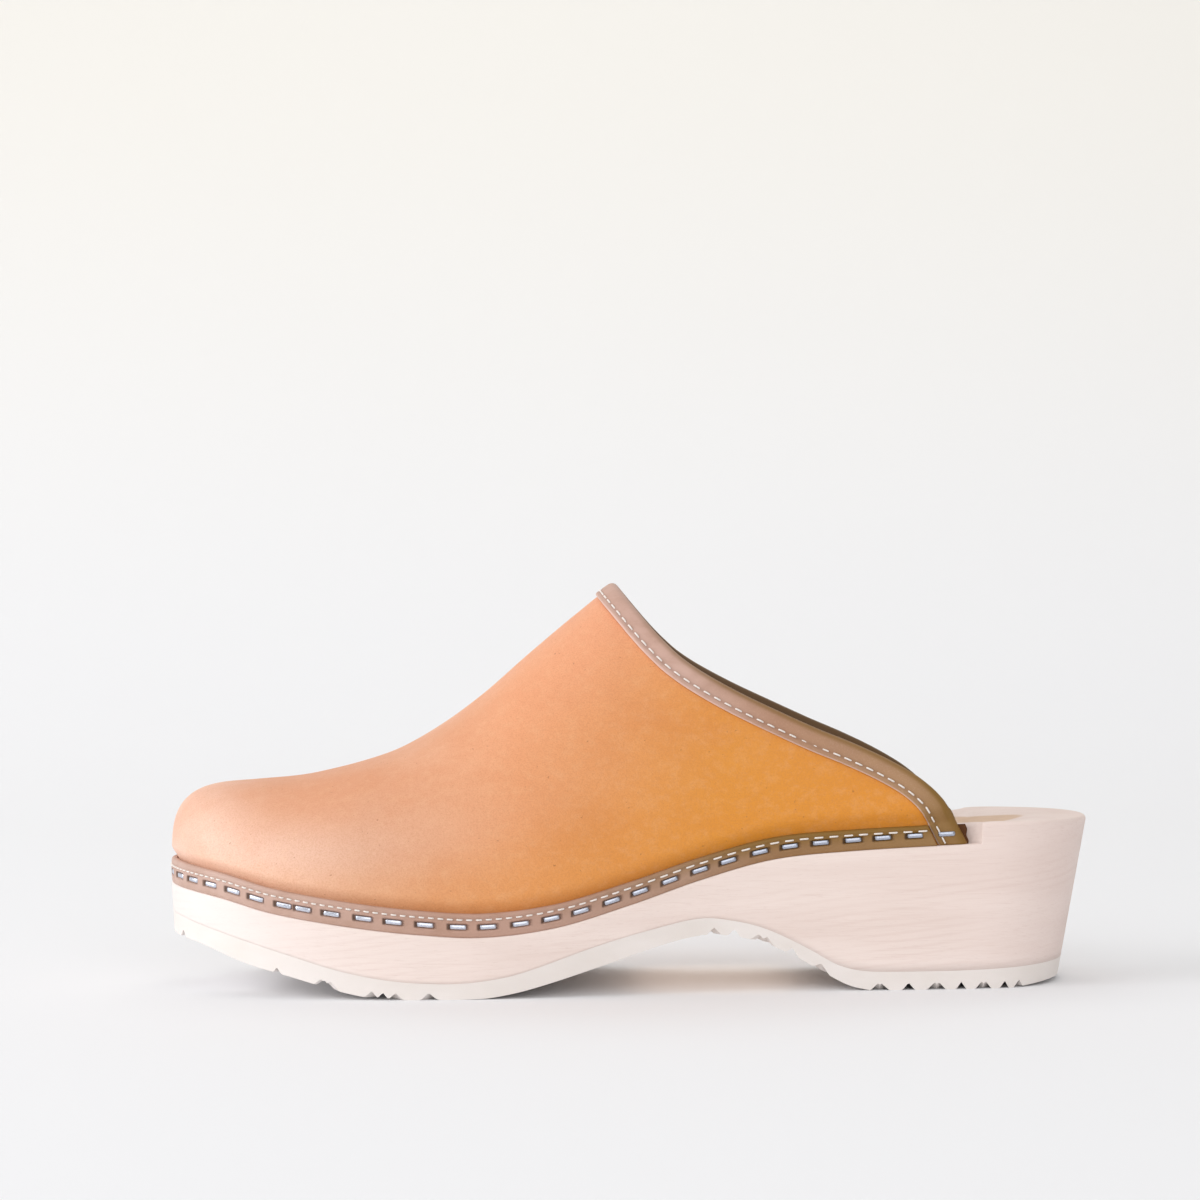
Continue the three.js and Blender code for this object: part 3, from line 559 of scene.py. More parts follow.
def leather_material():
    """Smooth veg-tan leather, paler at the toe and warmer towards the heel, with painted highlight and
    painted shade in places.
    """
    n = Nodes("upper_leather")
    place = n.place()
    # Along the clog: the pale toe end is partly the leather's own patina and partly a painted
    # highlight from the light on the left.
    along = n.band(place["X"], TOE_X, 95)
    tone = n.ramp(along, [
        (0.0, srgb(241, 202, 182)), (0.16, srgb(221, 172, 144)), (0.42, srgb(228, 158, 110)),
        (0.6, srgb(226, 152, 90)), (0.78, srgb(223, 147, 56)), (1.0, srgb(215, 136, 40))])
    cloud = n.noise((0.03, 0.03, 0.045), 5, 0.6)
    mottled = n.mix(n.band(cloud, 0.42, 0.75, 0, 0.3), tone, srgb(206, 124, 70))
    share = n.attribute("share")
    crown = n.band(share, 0.45, 0.96)
    # Painted shade: the crown of the toe is painted darker, as little light falls from above.
    from_tip = n.band(place["X"], -120, -95, 0.15, 0.85)
    toe_part = n.math("MULTIPLY", from_tip, n.band(place["X"], -85, -45, 1.0, 0.0))
    toe_crown_painted_shade = n.mix(n.math("MULTIPLY", crown, toe_part), mottled, srgb(214, 140, 92))
    # Painted highlight: behind the toe the crown is painted paler and pinker.
    rear_part = n.band(place["X"], -60, 0, 0.0, 0.5)
    crown_painted_highlight = n.mix(n.math("MULTIPLY", crown, rear_part), toe_crown_painted_shade, srgb(232, 166, 140))
    # Painted shade: low on the upper, near the strip, the leather is painted a deeper orange.
    low_share = n.band(share, 0.12, 0.5, 1.0, 0.0)
    low_part = n.math("MULTIPLY", low_share, n.band(place["X"], -110, 10, 0.2, 0.5))
    low_painted_shade = n.mix(low_part, crown_painted_highlight, srgb(228, 148, 30))
    bloom = n.noise((0.3, 0.34, 0.4), 4, 0.7)
    lifted = n.mix(n.band(bloom, 0.42, 0.75, 0, 0.12), low_painted_shade, srgb(244, 204, 164))
    grain = n.noise((2.3, 2.3, 2.3), 4, 0.65)
    pores = n.add("ShaderNodeTexVoronoi", feature="DISTANCE_TO_EDGE")
    pores.inputs["Scale"].default_value = 1.35
    n.link(n.position(), pores.inputs["Vector"])
    creases = n.band(pores.outputs["Distance"], 0.0, 0.16)
    specks = n.noise((0.9, 0.9, 0.9), 1)
    speckled = n.mix(n.band(specks, 0.755, 0.8, 0, 0.5), lifted, srgb(150, 84, 44))
    fine = n.mix(n.band(grain, 0.38, 0.7, 0, 0.26), speckled, srgb(184, 110, 60))
    rough = n.band(cloud, 0.3, 0.75, 0.46, 0.58)
    relief = n.bump(creases, 0.05, 0.3, n.bump(grain, 0.06, 0.35))
    return n.finish(fine, rough, relief, Specular_IOR_Level=0.38, Sheen_Weight=0.06,
                    Sheen_Roughness=0.5)


def flesh_material():
    """The rough inside of the leather."""
    n = Nodes("leather_inside")
    cloud = n.noise((0.08, 0.08, 0.08), 4, 0.6)
    nap = n.noise((3.2, 3.2, 3.2), 4, 0.7)
    base = n.ramp(cloud, [(0.3, srgb(128, 84, 48)), (0.7, srgb(152, 104, 64))])
    colour = n.mix(n.band(nap, 0.4, 0.7, 0, 0.4), base, srgb(172, 124, 82))
    return n.finish(colour, 0.9, n.bump(nap, 0.15, 0.7), Specular_IOR_Level=0.15)


def trim_material():
    """Thin soft leather of the binding and the welt strip."""
    n = Nodes("trim_leather")
    place = n.place()
    tone = n.ramp(n.band(place["X"], TOE_X, 95), [
        (0.0, srgb(196, 165, 152)), (0.3, srgb(184, 146, 128)), (0.58, srgb(192, 156, 142)),
        (0.72, srgb(202, 166, 152)), (0.86, srgb(174, 131, 104)), (1.0, srgb(168, 130, 92))])
    cloud = n.noise((0.12, 0.12, 0.2), 4, 0.6)
    worn = n.mix(n.band(cloud, 0.4, 0.72, 0, 0.3), tone, srgb(156, 116, 92))
    grain = n.noise((2.2, 2.2, 2.2), 4, 0.62)
    fine = n.mix(n.band(grain, 0.45, 0.75, 0, 0.22), worn, srgb(206, 174, 152))
    # Olive tint; on the inside of the binding it colours the painted shade.
    olive_tint = n.mix(n.attribute("olive"), fine, srgb(128, 92, 24))
    # Painted highlight along the binding's folded lower edge, where the pale attribute is set.
    edge_painted_highlight = n.mix(n.attribute("pale"), olive_tint, srgb(232, 206, 196))
    dark = n.mix(n.attribute("shade"), edge_painted_highlight, srgb(62, 38, 16))
    rough = n.band(grain, 0.3, 0.7, 0.46, 0.62)
    return n.finish(dark, rough, n.bump(grain, 0.09, 0.5), Specular_IOR_Level=0.4)


def dark_leather_material():
    """The dark, rough inner layer that shows at the ends of the binding."""
    n = Nodes("dark_leather")
    nap = n.noise((2.4, 2.4, 2.4), 4, 0.7)
    colour = n.ramp(nap, [(0.3, srgb(70, 42, 24)), (0.7, srgb(104, 66, 38))])
    return n.finish(colour, 0.85, n.bump(nap, 0.12, 0.6), Specular_IOR_Level=0.2)


def thread_material():
    n = Nodes("seam_thread")
    twist = n.noise((4, 4, 4), 2)
    colour = n.ramp(twist, [(0.3, srgb(224, 213, 204)), (0.7, srgb(247, 242, 238))])
    return n.finish(colour, 0.7, n.bump(twist, 0.06, 0.6), Specular_IOR_Level=0.3)


def steel_material():
    n = Nodes("staple_steel")
    drawn = n.noise((1.2, 1.2, 7.0), 3)
    colour = n.ramp(drawn, [(0.3, srgb(190, 195, 210)), (0.7, srgb(226, 230, 240))])
    # The staples are darker towards the heel.
    heel_ward_darkening = n.band(n.place()["X"], -60, 40, 0.0, 0.6)
    worn = n.mix(heel_ward_darkening, colour, srgb(146, 152, 168))
    return n.finish(worn, n.band(drawn, 0.3, 0.7, 0.24, 0.4), n.bump(drawn, 0.03, 0.4),
                    Metallic=1.0)


def puff_material():
    n = Nodes("puff_board")
    nap = n.noise((1.8, 1.8, 1.8), 4, 0.7)
    colour = n.ramp(nap, [(0.3, srgb(158, 132, 100)), (0.7, srgb(182, 158, 124))])
    return n.finish(colour, 0.9, n.bump(nap, 0.12, 0.6), Specular_IOR_Level=0.2)


WOOD = wood_material()
RUBBER = rubber_material()
LEATHER = leather_material()
FLESH = flesh_material()
TRIM = trim_material()
DARK_LEATHER = dark_leather_material()
THREAD = thread_material()
STEEL = steel_material()
PUFF = puff_material()


# ---------- Wooden sole ----------

BED_WIDTH_SHARE = 0.77
BED_ROUND_X, BED_ROUND = 60, 52
RIM_ROUNDING = 1.4
LEDGE_ROUNDING = 0.5
LEAST_WALL = 3


def wooden_sole():
    regular = np.linspace(0, 1, 420)
    cutter = station_of(np.linspace(REBATE_END_X - 0.3, 100.4, 40))
    stations = np.unique(np.concatenate([regular, cutter]))
    x = station_x(stations)
    depth, top = rebate_depth(x), rim_z(x)
    ledge = np.minimum(ledge_z(x), top - LEAST_WALL)
    bottom = wood_bottom_z(x)

    def wall(side):
        edge = ledge - LEDGE_ROUNDING
        column = [(0 * x, bottom + (edge - bottom) * s) for s in np.linspace(0, 1, 14)]
        shoulder = np.minimum(LEDGE_ROUNDING, depth)
        column += [(shoulder * s ** 2, edge + LEDGE_ROUNDING * (1 - (1 - s) ** 2))
                   for s in (0.35, 0.7, 1.0)]
        column += [(depth, ledge + (top - RIM_ROUNDING - ledge) * s) for s in (0, 0.35, 0.7)]
        for s in np.linspace(0, 1, 7):
            angle = s * np.pi / 2
            column.append((depth + RIM_ROUNDING * (1 - np.cos(angle)),
                           top - RIM_ROUNDING + RIM_ROUNDING * np.sin(angle)))
        return [inset_point(side, stations, inset, z) for inset, z in column]

    lateral, medial = wall(LATERAL), wall(MEDIAL)
    left, right = lateral[-1], medial[-1]
    half_width = np.linalg.norm(left - right, axis=-1) / 2
    fade = half_width / (half_width + 4)
    outline_width = np.maximum(outline_y(MEDIAL, x) - outline_y(LATERAL, x), 0.1)
    middle = (outline_y(MEDIAL, x) + outline_y(LATERAL, x)) / 2
    bed = []
    cup_tint = []
    for fraction in np.linspace(-1, 1, 49)[1:-1]:
        row = left + (right - left) * (fraction + 1) / 2
        row[:, 2] = top - cup_depth(x) * fade * (1 - abs(fraction) ** 3) ** 1.3
        bed.append(row)
        across = 2 * (row[:, 1] - middle) / outline_width
        oval = np.hypot(across / BED_WIDTH_SHARE, np.maximum(0, x - BED_ROUND_X) / BED_ROUND)
        cup_tint.append(1 - smooth_step(0.96, 1.02, oval))
    belly = [lateral[0] + (medial[0] - lateral[0]) * s for s in np.linspace(0, 1, 9)[1:-1]]
    loop = lateral + bed + medial[::-1] + belly[::-1]
    points = leaned(np.stack(loop, axis=1))
    rows, columns = points.shape[:2]
    piece = new_piece("clog_wooden_sole", points, grid_faces(rows, columns, wrap=True), WOOD,
                      ["wooden_sole"])
    shades = [0 * x] * len(lateral) + cup_tint + [0 * x] * (len(medial) + len(belly))
    add_attribute(piece, "bed", np.stack(shades, axis=1))
    merge_points(piece.data, MERGE_DISTANCE)


# ---------- Rubber outsole ----------

GROOVE_PERIOD = 16.0
GROOVE_WIDTH = 3.5
GROOVE_DEPTH = 2.0
GROOVE_START = 12.5
GROOVE_SLANT = 0.757
GROOVE_ZONES = [(-129, -119), (-98, -52), (19, 58), (64, 117)]
GROOVE_FADE = 1.5


def groove_height(x, y):
    """How far the tread's three families of V grooves rise into the outsole."""
    rise = np.zeros_like(x)
    for slant in (0.0, GROOVE_SLANT, -GROOVE_SLANT):
        run = (x + slant * y - GROOVE_START) / GROOVE_PERIOD
        across = np.abs(run - np.round(run)) * GROOVE_PERIOD / math.hypot(1, slant)
        rise = np.maximum(rise, GROOVE_DEPTH * (1 - across / (GROOVE_WIDTH / 2)))
    zone = sum(smooth_step(a, a + GROOVE_FADE, x) * (1 - smooth_step(b - GROOVE_FADE, b, x))
               for a, b in GROOVE_ZONES)
    return np.maximum(0, rise) * zone


def rubber_outsole():
    stations = np.linspace(0, 1, 620)
    x = station_x(stations)
    lateral = inset_point(LATERAL, stations, 0, 0)
    medial = inset_point(MEDIAL, stations, 0, 0)
    top = wood_bottom_z(x)

    def across(fraction, z):
        row = lateral + (medial - lateral) * fraction
        row[:, 2] = z
        return row

    def tread(fraction):
        row = across(fraction, 0)
        return underside_z(row[:, 0]) + groove_height(row[:, 0], row[:, 1])

    loop = [across(f, tread(f)) for f in np.linspace(0, 1, 150)]
    for fraction, order in ((1, 1), (0, -1)):
        low = tread(fraction)
        shares = np.linspace(0, 1, 8)[1:-1][::order]
        rows = [across(fraction, low + (top - low) * s) for s in shares]
        if fraction == 1:
            loop += rows + [across(f, top) for f in np.linspace(1, 0, 9)]
        else:
            loop += rows
    points = leaned(np.stack(loop, axis=1))
    rows, columns = points.shape[:2]
    new_piece("clog_rubber_outsole", points, grid_faces(rows, columns, wrap=True), RUBBER,
              ["rubber_outsole"], smooth=False, merge=MERGE_DISTANCE)


# ---------- Leather upper and toe puff ----------

COLLAR_INSIDE = 1.6
PUFF_REACH = 0.27
PUFF_GAP = 0.75
PUFF_THICKNESS = 1.0
PUFF_ABOVE_WALL = 2.2


def shell(reach, outer, inner, rows, columns):
    """Two skins from the toe to a share of the way to the collar, and the height share."""
    reaches = reach * (1 - np.cos(np.linspace(0, np.pi / 2, rows)))[:, None]
    angles = np.linspace(0, np.pi, columns)
    collar = collar_x(angles, COLLAR_INSIDE)[None, :]
    x = TOE_X + reaches * (collar - TOE_X)
    angle = np.broadcast_to(angles[None, :], x.shape)
    surface, normal = upper_point(x, angle), upper_normal(x, angle)
    waver = 0.14 * soft_noise(surface[..., 0] * 0.06, surface[..., 2] * 0.08, 3.0)
    lift = waver * smooth_step(10, 22, surface[..., 2] - ledge_z(x))
    outside = surface + normal * (outer + lift)[..., None]
    within = surface + normal * (inner + lift)[..., None]
    return outside, within, np.sin(angle)


def shell_piece(name, skins, outside_material, inside_material, nodes):
    outside, within, share = skins
    rows, columns = outside.shape[:2]
    count = rows * columns
    index = np.arange(count).reshape(rows, columns)
    faces = grid_faces(rows, columns, flip=True)
    inner = grid_faces(rows, columns, start=count)
    rims = rim_faces((index[-1, :], index[:, 0], index[:, -1]), count)
    piece = new_piece(name, np.concatenate([outside.reshape(-1, 3), within.reshape(-1, 3)]),
                      faces + inner + rims, outside_material, nodes)
    piece.data.materials.append(inside_material)
    kinds = [0] * len(faces) + [1] * (len(inner) + len(rims))
    if len(kinds) == len(piece.data.polygons):
        piece.data.polygons.foreach_set("material_index", kinds)
    add_attribute(piece, "share", np.concatenate([share.ravel(), share.ravel()]))
    merge_points(piece.data, MERGE_DISTANCE)


def leather_upper():
    skins = shell(1.0, 0.0, -LEATHER_THICKNESS, 150, 221)
    shell_piece("clog_leather_upper", skins, LEATHER, FLESH, ["leather_upper"])


def toe_puff():
    outer = -LEATHER_THICKNESS - PUFF_GAP
    skins = shell(PUFF_REACH, outer, outer - PUFF_THICKNESS, 60, 121)
    low = ledge_z(skins[0][..., 0]) + wall_height(skins[0][..., 0]) + PUFF_ABOVE_WALL
    for skin in skins[:2]:
        skin[..., 2] = np.maximum(skin[..., 2], low)
    shell_piece("clog_toe_puff", skins, PUFF, PUFF, ["toe_puff"])


# ---------- Rows of stitches ----------

THREAD_WIDTH = 0.5


def stitch_row(name, centres, ways, ups, lengths, nodes=()):
    """Short threads that come up out of the leather, lie on it and go back in."""
    rings, sides = 7, 6
    s = np.linspace(-1, 1, rings)
    lift = THREAD_WIDTH * (0.42 - 1.25 * s ** 4)
    angles = np.arange(sides) * 2 * np.pi / sides
    points, faces = [], []
    cross = np.cross(ups, ways)
    for i, (centre, way, up, side, length) in enumerate(zip(centres, ways, ups, cross, lengths)):
        spine = centre + np.outer(s * length / 2, way) + np.outer(lift, up)
        thick = THREAD_WIDTH / 2 * np.sqrt(np.clip(1.02 - s ** 6, 0.02, 1))
        ring = (np.cos(angles)[None, :, None] * side + np.sin(angles)[None, :, None] * up)
        points.append(spine[:, None, :] + ring * thick[:, None, None])
        start = i * rings * sides
        faces += grid_faces(rings, sides, wrap=True, start=start)
        first, last = end_caps(rings, sides, start)
        faces += [first, last[::-1]]
    new_piece(name, np.concatenate([p.reshape(-1, 3) for p in points]), faces, THREAD,
              nodes)


def stitch_places(path, pitch):
    """Fractional indices of the stitches along a path, and their pitch there."""
    pitch = np.broadcast_to(pitch, (len(path),))
    steps = np.linalg.norm(np.diff(path, axis=0), axis=1) / pitch[1:]
    counted = np.concatenate([[0], np.cumsum(steps)])
    wanted = np.arange(0.5, counted[-1], 1.0)
    places = np.interp(wanted, counted, np.arange(len(path)))
    return places, np.interp(places, np.arange(len(path)), pitch)


def sample(path, places):
    return np.stack([np.interp(places, np.arange(len(path)), path[:, k]) for k in range(3)], -1)


def stitch_frames(path, above, pitch):
    """Middle, direction, outward direction and pitch of each stitch along a path."""
    places, pitches = stitch_places(path, pitch)
    middles = sample(path, places)
    ways = unit(sample(path, places + 1) - sample(path, places - 1))
    ups = unit(sample(above, places) - middles)
    return middles, ways, ups, pitches


# ---------- Collar binding ----------

COLLAR_THREAD_DISTANCE = 5.0
COLLAR_PITCH = 3.3
COLLAR_STITCH_SHARE = 0.78
WORN_STITCHES_X = 50.5
WORN_HALF_LENGTH = 4.5
WORN_DEPTH = 0.42
BINDING_TOP = 1.05
BINDING_INSIDE = -LEATHER_THICKNESS - 0.95


def collar_angles(count):
    """Angles whose collar points are evenly spaced along the collar."""
    angles = np.linspace(0, np.pi, 2000)
    path = upper_point(collar_x(angles), angles)
    lengths = lengths_along(path)
    return np.interp(np.linspace(0, lengths[-1], count), lengths, angles), lengths[-1]


def collar_binding():
    count = 700
    angles, length = collar_angles(count)
    along = np.linspace(0, length, count)
    middle = (BINDING_TOP + BINDING_INSIDE) / 2
    half = (BINDING_TOP - BINDING_INSIDE) / 2
    section = [(BINDING_WIDTH - 0.25, 0.05), (BINDING_WIDTH - 0.03, 0.3),
               (BINDING_WIDTH, 0.55), (BINDING_WIDTH - 0.12, 0.82), (BINDING_WIDTH - 0.45, 0.95)]
    section += [(d, BINDING_TOP) for d in (6.0, 5.7, 5.4, 5.15, 5.0, 4.85, 4.6, 4.3, 3.6, 2.9)]
    for a in np.linspace(90, -90, 13):
        rad = math.radians(a)
        section.append((2.0 - 2.0 * math.cos(rad), middle + half * math.sin(rad)))
    section += [(d, BINDING_INSIDE) for d in (3.0, 4.5, 5.6)]
    section += [(6.1, BINDING_INSIDE + 0.3), (6.2, BINDING_INSIDE + 0.9),
                (2.2, -LEATHER_THICKNESS - 0.02), (1.5, -1.0), (2.2, 0.02)]
    pull = np.abs(np.sin(np.pi * along / COLLAR_PITCH))
    swell = 0.12 * soft_noise(along * 0.09, along * 0 + 1.0, 8.0)
    loops, shade, olive, pale = [], [], [], []
    height = upper_point(collar_x(angles), angles)[:, 2]
    low = 0.75 * (1 - smooth_step(44, 62, height))
    for distance, offset in section:
        near = math.exp(-((distance - COLLAR_THREAD_DISTANCE) / 0.55) ** 2)
        sink = np.zeros(count)
        if offset >= BINDING_TOP - 0.01 and distance > 2.5:
            sink = near * (0.16 + 0.12 * (1 - pull)) - 0.5 * swell
        if distance > 6.2:
            sink = -0.3 * swell
        loops.append(from_collar(angles, distance, offset - sink))
        inner = smooth_step(-0.2, -1.6, offset) if distance < 6.3 else 0.0
        shade.append(np.full(count, 0.2 * near if offset > 0.8 else 0.7 * inner))
        # The binding's folded lower edge gets a painted highlight through pale.
        pale.append(np.full(count, 0.55 if distance > 6.4 and offset > 0.2 else 0.0))
        # Olive tint low on the binding and near its fold; on the inside it colours the inside's
        # painted shade.
        over_edge = float(1 - smooth_step(0.7, 2.4, distance)) * (1 - inner)
        olive_tint = low + 0.7 * over_edge * smooth_step(112, 84, height)
        olive.append(np.clip(olive_tint + 0.75 * inner, 0, 0.9))
    points = np.stack(loops, axis=1)
    rows, columns = points.shape[:2]
    faces = grid_faces(rows, columns, wrap=True)
    first, last = end_caps(rows, columns)
    faces += [first[::-1], last]
    piece = new_piece("clog_collar_binding", points, faces, TRIM,
                      ["collar_binding"])
    for label, values in (("shade", shade), ("olive", olive), ("pale", pale)):
        add_attribute(piece, label, np.stack(values, axis=1))
    for name, distance, offset, outward in (
            ("clog_collar_stitches", COLLAR_THREAD_DISTANCE, BINDING_TOP - 0.18, 1),
            ("clog_collar_inner_stitches", 4.7, BINDING_INSIDE + 0.02, -1)):
        path = from_collar(angles, distance, offset)
        ahead = from_collar(angles, distance, offset + outward * 1.0)
        centres, ways, ups, pitch = stitch_frames(path, ahead, COLLAR_PITCH)
        nodes = ["collar_thread"] if outward == 1 else []
        ups = unit(ups - ways * np.sum(ups * ways, axis=-1, keepdims=True))
        worn = np.exp(-((centres[:, 0] - WORN_STITCHES_X) / WORN_HALF_LENGTH) ** 4)
        sunken = WORN_DEPTH * (worn * (centres[:, 1] < 0))
        centres = centres - ups * sunken[:, None]
        stitch_row(name, centres, ways, ups, pitch * COLLAR_STITCH_SHARE, nodes)


def lining_ends():
    """The dark cut end of the inner leather, just behind each end of the binding."""
    rows, columns = 14, 9
    for side, label in ((LATERAL, "outer"), (MEDIAL, "inner")):
        skins = []
        for inset in (2.5, 3.3):
            for up in np.linspace(0.06, 5.5, rows):
                rear = 93.4 - 0.12 * up + 0.2 * math.sin(up * 1.9)
                t = station_of(np.linspace(90.4 - 0.35 * up, rear, columns))
                wave = inset + 0.12 * np.sin(np.arange(columns) * 0.9 + up)
                skins.append(inset_point(side, t, wave, ledge_z(station_x(t)) + up))
        points = np.array(skins).reshape(-1, 3)
        count = rows * columns
        index = np.arange(count).reshape(rows, columns)
        faces = grid_faces(rows, columns) + grid_faces(rows, columns, start=count, flip=True)
        faces += rim_faces((index[0, :], index[-1, ::-1], index[::-1, 0], index[:, -1]), count)
        piece = new_piece("clog_lining_end_" + label, points, faces, DARK_LEATHER)
        merge_points(piece.data, 0.001)


# ---------- Welt strip and staples ----------

strip_height = smooth_curve([(-129, 7), (-100, 6.8), (0, 6.3), (84, 5.7)])
staple_row_height = smooth_curve([(-129, 3), (-20, 2.8), (20, 2.8), (84, 3.1)])
stitch_row_height = smooth_curve([(-129, 4.9), (-110, 5), (0, 4.7), (84, 4.2)])
stitch_pitch = smooth_curve([(-129, 2.4), (-50, 2.6), (-10, 3.2), (20, 4.0), (84, 4.1)])
STRIP_END_X = BINDING_FRONT_X + 0.6
STRIP_END_LEAN = 0.45
STRIP_ROWS_HEIGHT = 6.6
WELT_STITCH_SHARE = 0.76
PUCKER_PITCH = 3.1
STAPLE_END_X = 87.3
INNER_STAPLES, OUTER_STAPLES = 23, 29
STAPLE_PITCH = 8.65
STAPLE_WOBBLE, WOBBLE_TURN = 0.45, 2.4
CLOSE_PAIR, CLOSE_GAP = 21, 5.9


def outer_gaps():
    """Gaps between the hand-driven staples of the outer side, from the heel end to the toe."""
    order = np.arange(OUTER_STAPLES - 1)
    gaps = STAPLE_PITCH + STAPLE_WOBBLE * np.sin(WOBBLE_TURN * order)
    return np.where(order == CLOSE_PAIR, CLOSE_GAP, gaps)


def staple_places(side):
    """Stations of the staples, from the toe to the one that clamps the binding."""
    stations = np.linspace(0, station_of(STAPLE_END_X), 201)
    path = inset_point(side, stations, 0, ledge_z(station_x(stations)))
    lengths = lengths_along(path)
    even = [lengths[-1] / (INNER_STAPLES - 0.5)] * (INNER_STAPLES - 1)
    gaps = outer_gaps() if side == LATERAL else even
    wanted = lengths[-1] - np.concatenate([[0], np.cumsum(gaps)])
    return np.interp(wanted, lengths, stations)[::-1]


def strip_axes(side, t):
    """Centre line directions of the strip at a station: along, inward and up."""
    x, _, in_x, in_y = edge_at(side, t)
    inward = np.array([float(in_x), float(in_y), 0.0])
    slope = float(ledge_z(x + 1) - ledge_z(x - 1)) / 2
    flat = np.array([-side * inward[1], side * inward[0], 0.0])
    along = unit(np.array([flat[0], flat[1], slope * flat[0]]))
    up = unit(np.cross(along, inward))
    if up[2] < 0:
        up = -up
    return np.cross(inward, up), inward, up


def staple_centre(side, t, inset):
    x = float(station_x(t))
    return inset_point(side, t, inset, ledge_z(x) + staple_row_height(x))


def staple_piece(name, side, t, inset):
    """One wire staple: a flat-topped crown with rounded shoulders and two legs."""
    along, inward, up = strip_axes(side, t)
    centre = staple_centre(side, t, inset)
    half, shoulder = STAPLE_CROWN / 2 - STAPLE_WIRE / 2, STAPLE_SHOULDER
    path = [(-half, STAPLE_LEG)]
    for a in np.linspace(180, 90, 5):
        rad = math.radians(a)
        path.append((-half + shoulder + shoulder * math.cos(rad), shoulder - shoulder * math.sin(rad)))
    path += [(-u, v) for u, v in reversed(path)]
    path = np.array(path)
    tangents = unit(np.gradient(path, axis=0))
    rings = []
    angles = np.arange(STAPLE_SIDES) * 2 * np.pi / STAPLE_SIDES
    for (u, v), (tu, tv) in zip(path, tangents):
        origin = centre + along * u + inward * (v + STAPLE_WIRE / 2)
        outward = along * tv - inward * tu
        cos, sin = np.cos(angles), np.sin(angles)
        flat = np.sign(cos) * np.abs(cos) ** 0.6 * STAPLE_WIRE / 2
        tall = np.sign(sin) * np.abs(sin) ** 0.6 * STAPLE_HEIGHT / 2
        rings.append(origin + np.outer(flat, outward) + np.outer(tall, up))
    faces = grid_faces(len(rings), STAPLE_SIDES, wrap=True)
    first, last = end_caps(len(rings), STAPLE_SIDES)
    faces += [first, last[::-1]]
    new_piece("clog_" + name, np.concatenate(rings), faces, STEEL, [name])


def staples():
    for side, label in ((LATERAL, "outer"), (MEDIAL, "inner")):
        places = staple_places(side)
        for i, t in enumerate(places):
            last = i == len(places) - 1
            staple_piece(f"{label}_staple_{i + 1:02d}", side, t, 0.5 if last else 0.12)


def strip_path(count):
    """Sides and stations round the toe, evenly spaced along the strip."""
    position = np.linspace(-1, 1, 4000)
    side = np.where(position < 0, LATERAL, MEDIAL)
    t = np.abs(position) * station_of(STRIP_END_X)
    x = station_x(t)
    path = np.where((side == LATERAL)[:, None], inset_point(LATERAL, t, 0, ledge_z(x)),
                    inset_point(MEDIAL, t, 0, ledge_z(x)))
    lengths = lengths_along(path)
    even = np.interp(np.linspace(0, lengths[-1], count), lengths, position)
    return even, lengths, position


def strip_point(position, inset, up):
    position, inset, up = np.broadcast_arrays(position, np.asarray(inset, float), up)
    t = np.abs(position) * station_of(STRIP_END_X)
    x = station_x(t)
    lean = STRIP_END_LEAN * smooth_step(0.97, 1, np.abs(position))
    moved = np.where(lean > 0, station_of(x - lean * up), t)
    z = ledge_z(x) + up
    return np.where((position < 0)[..., None], inset_point(LATERAL, moved, inset, z),
                    inset_point(MEDIAL, moved, inset, z))


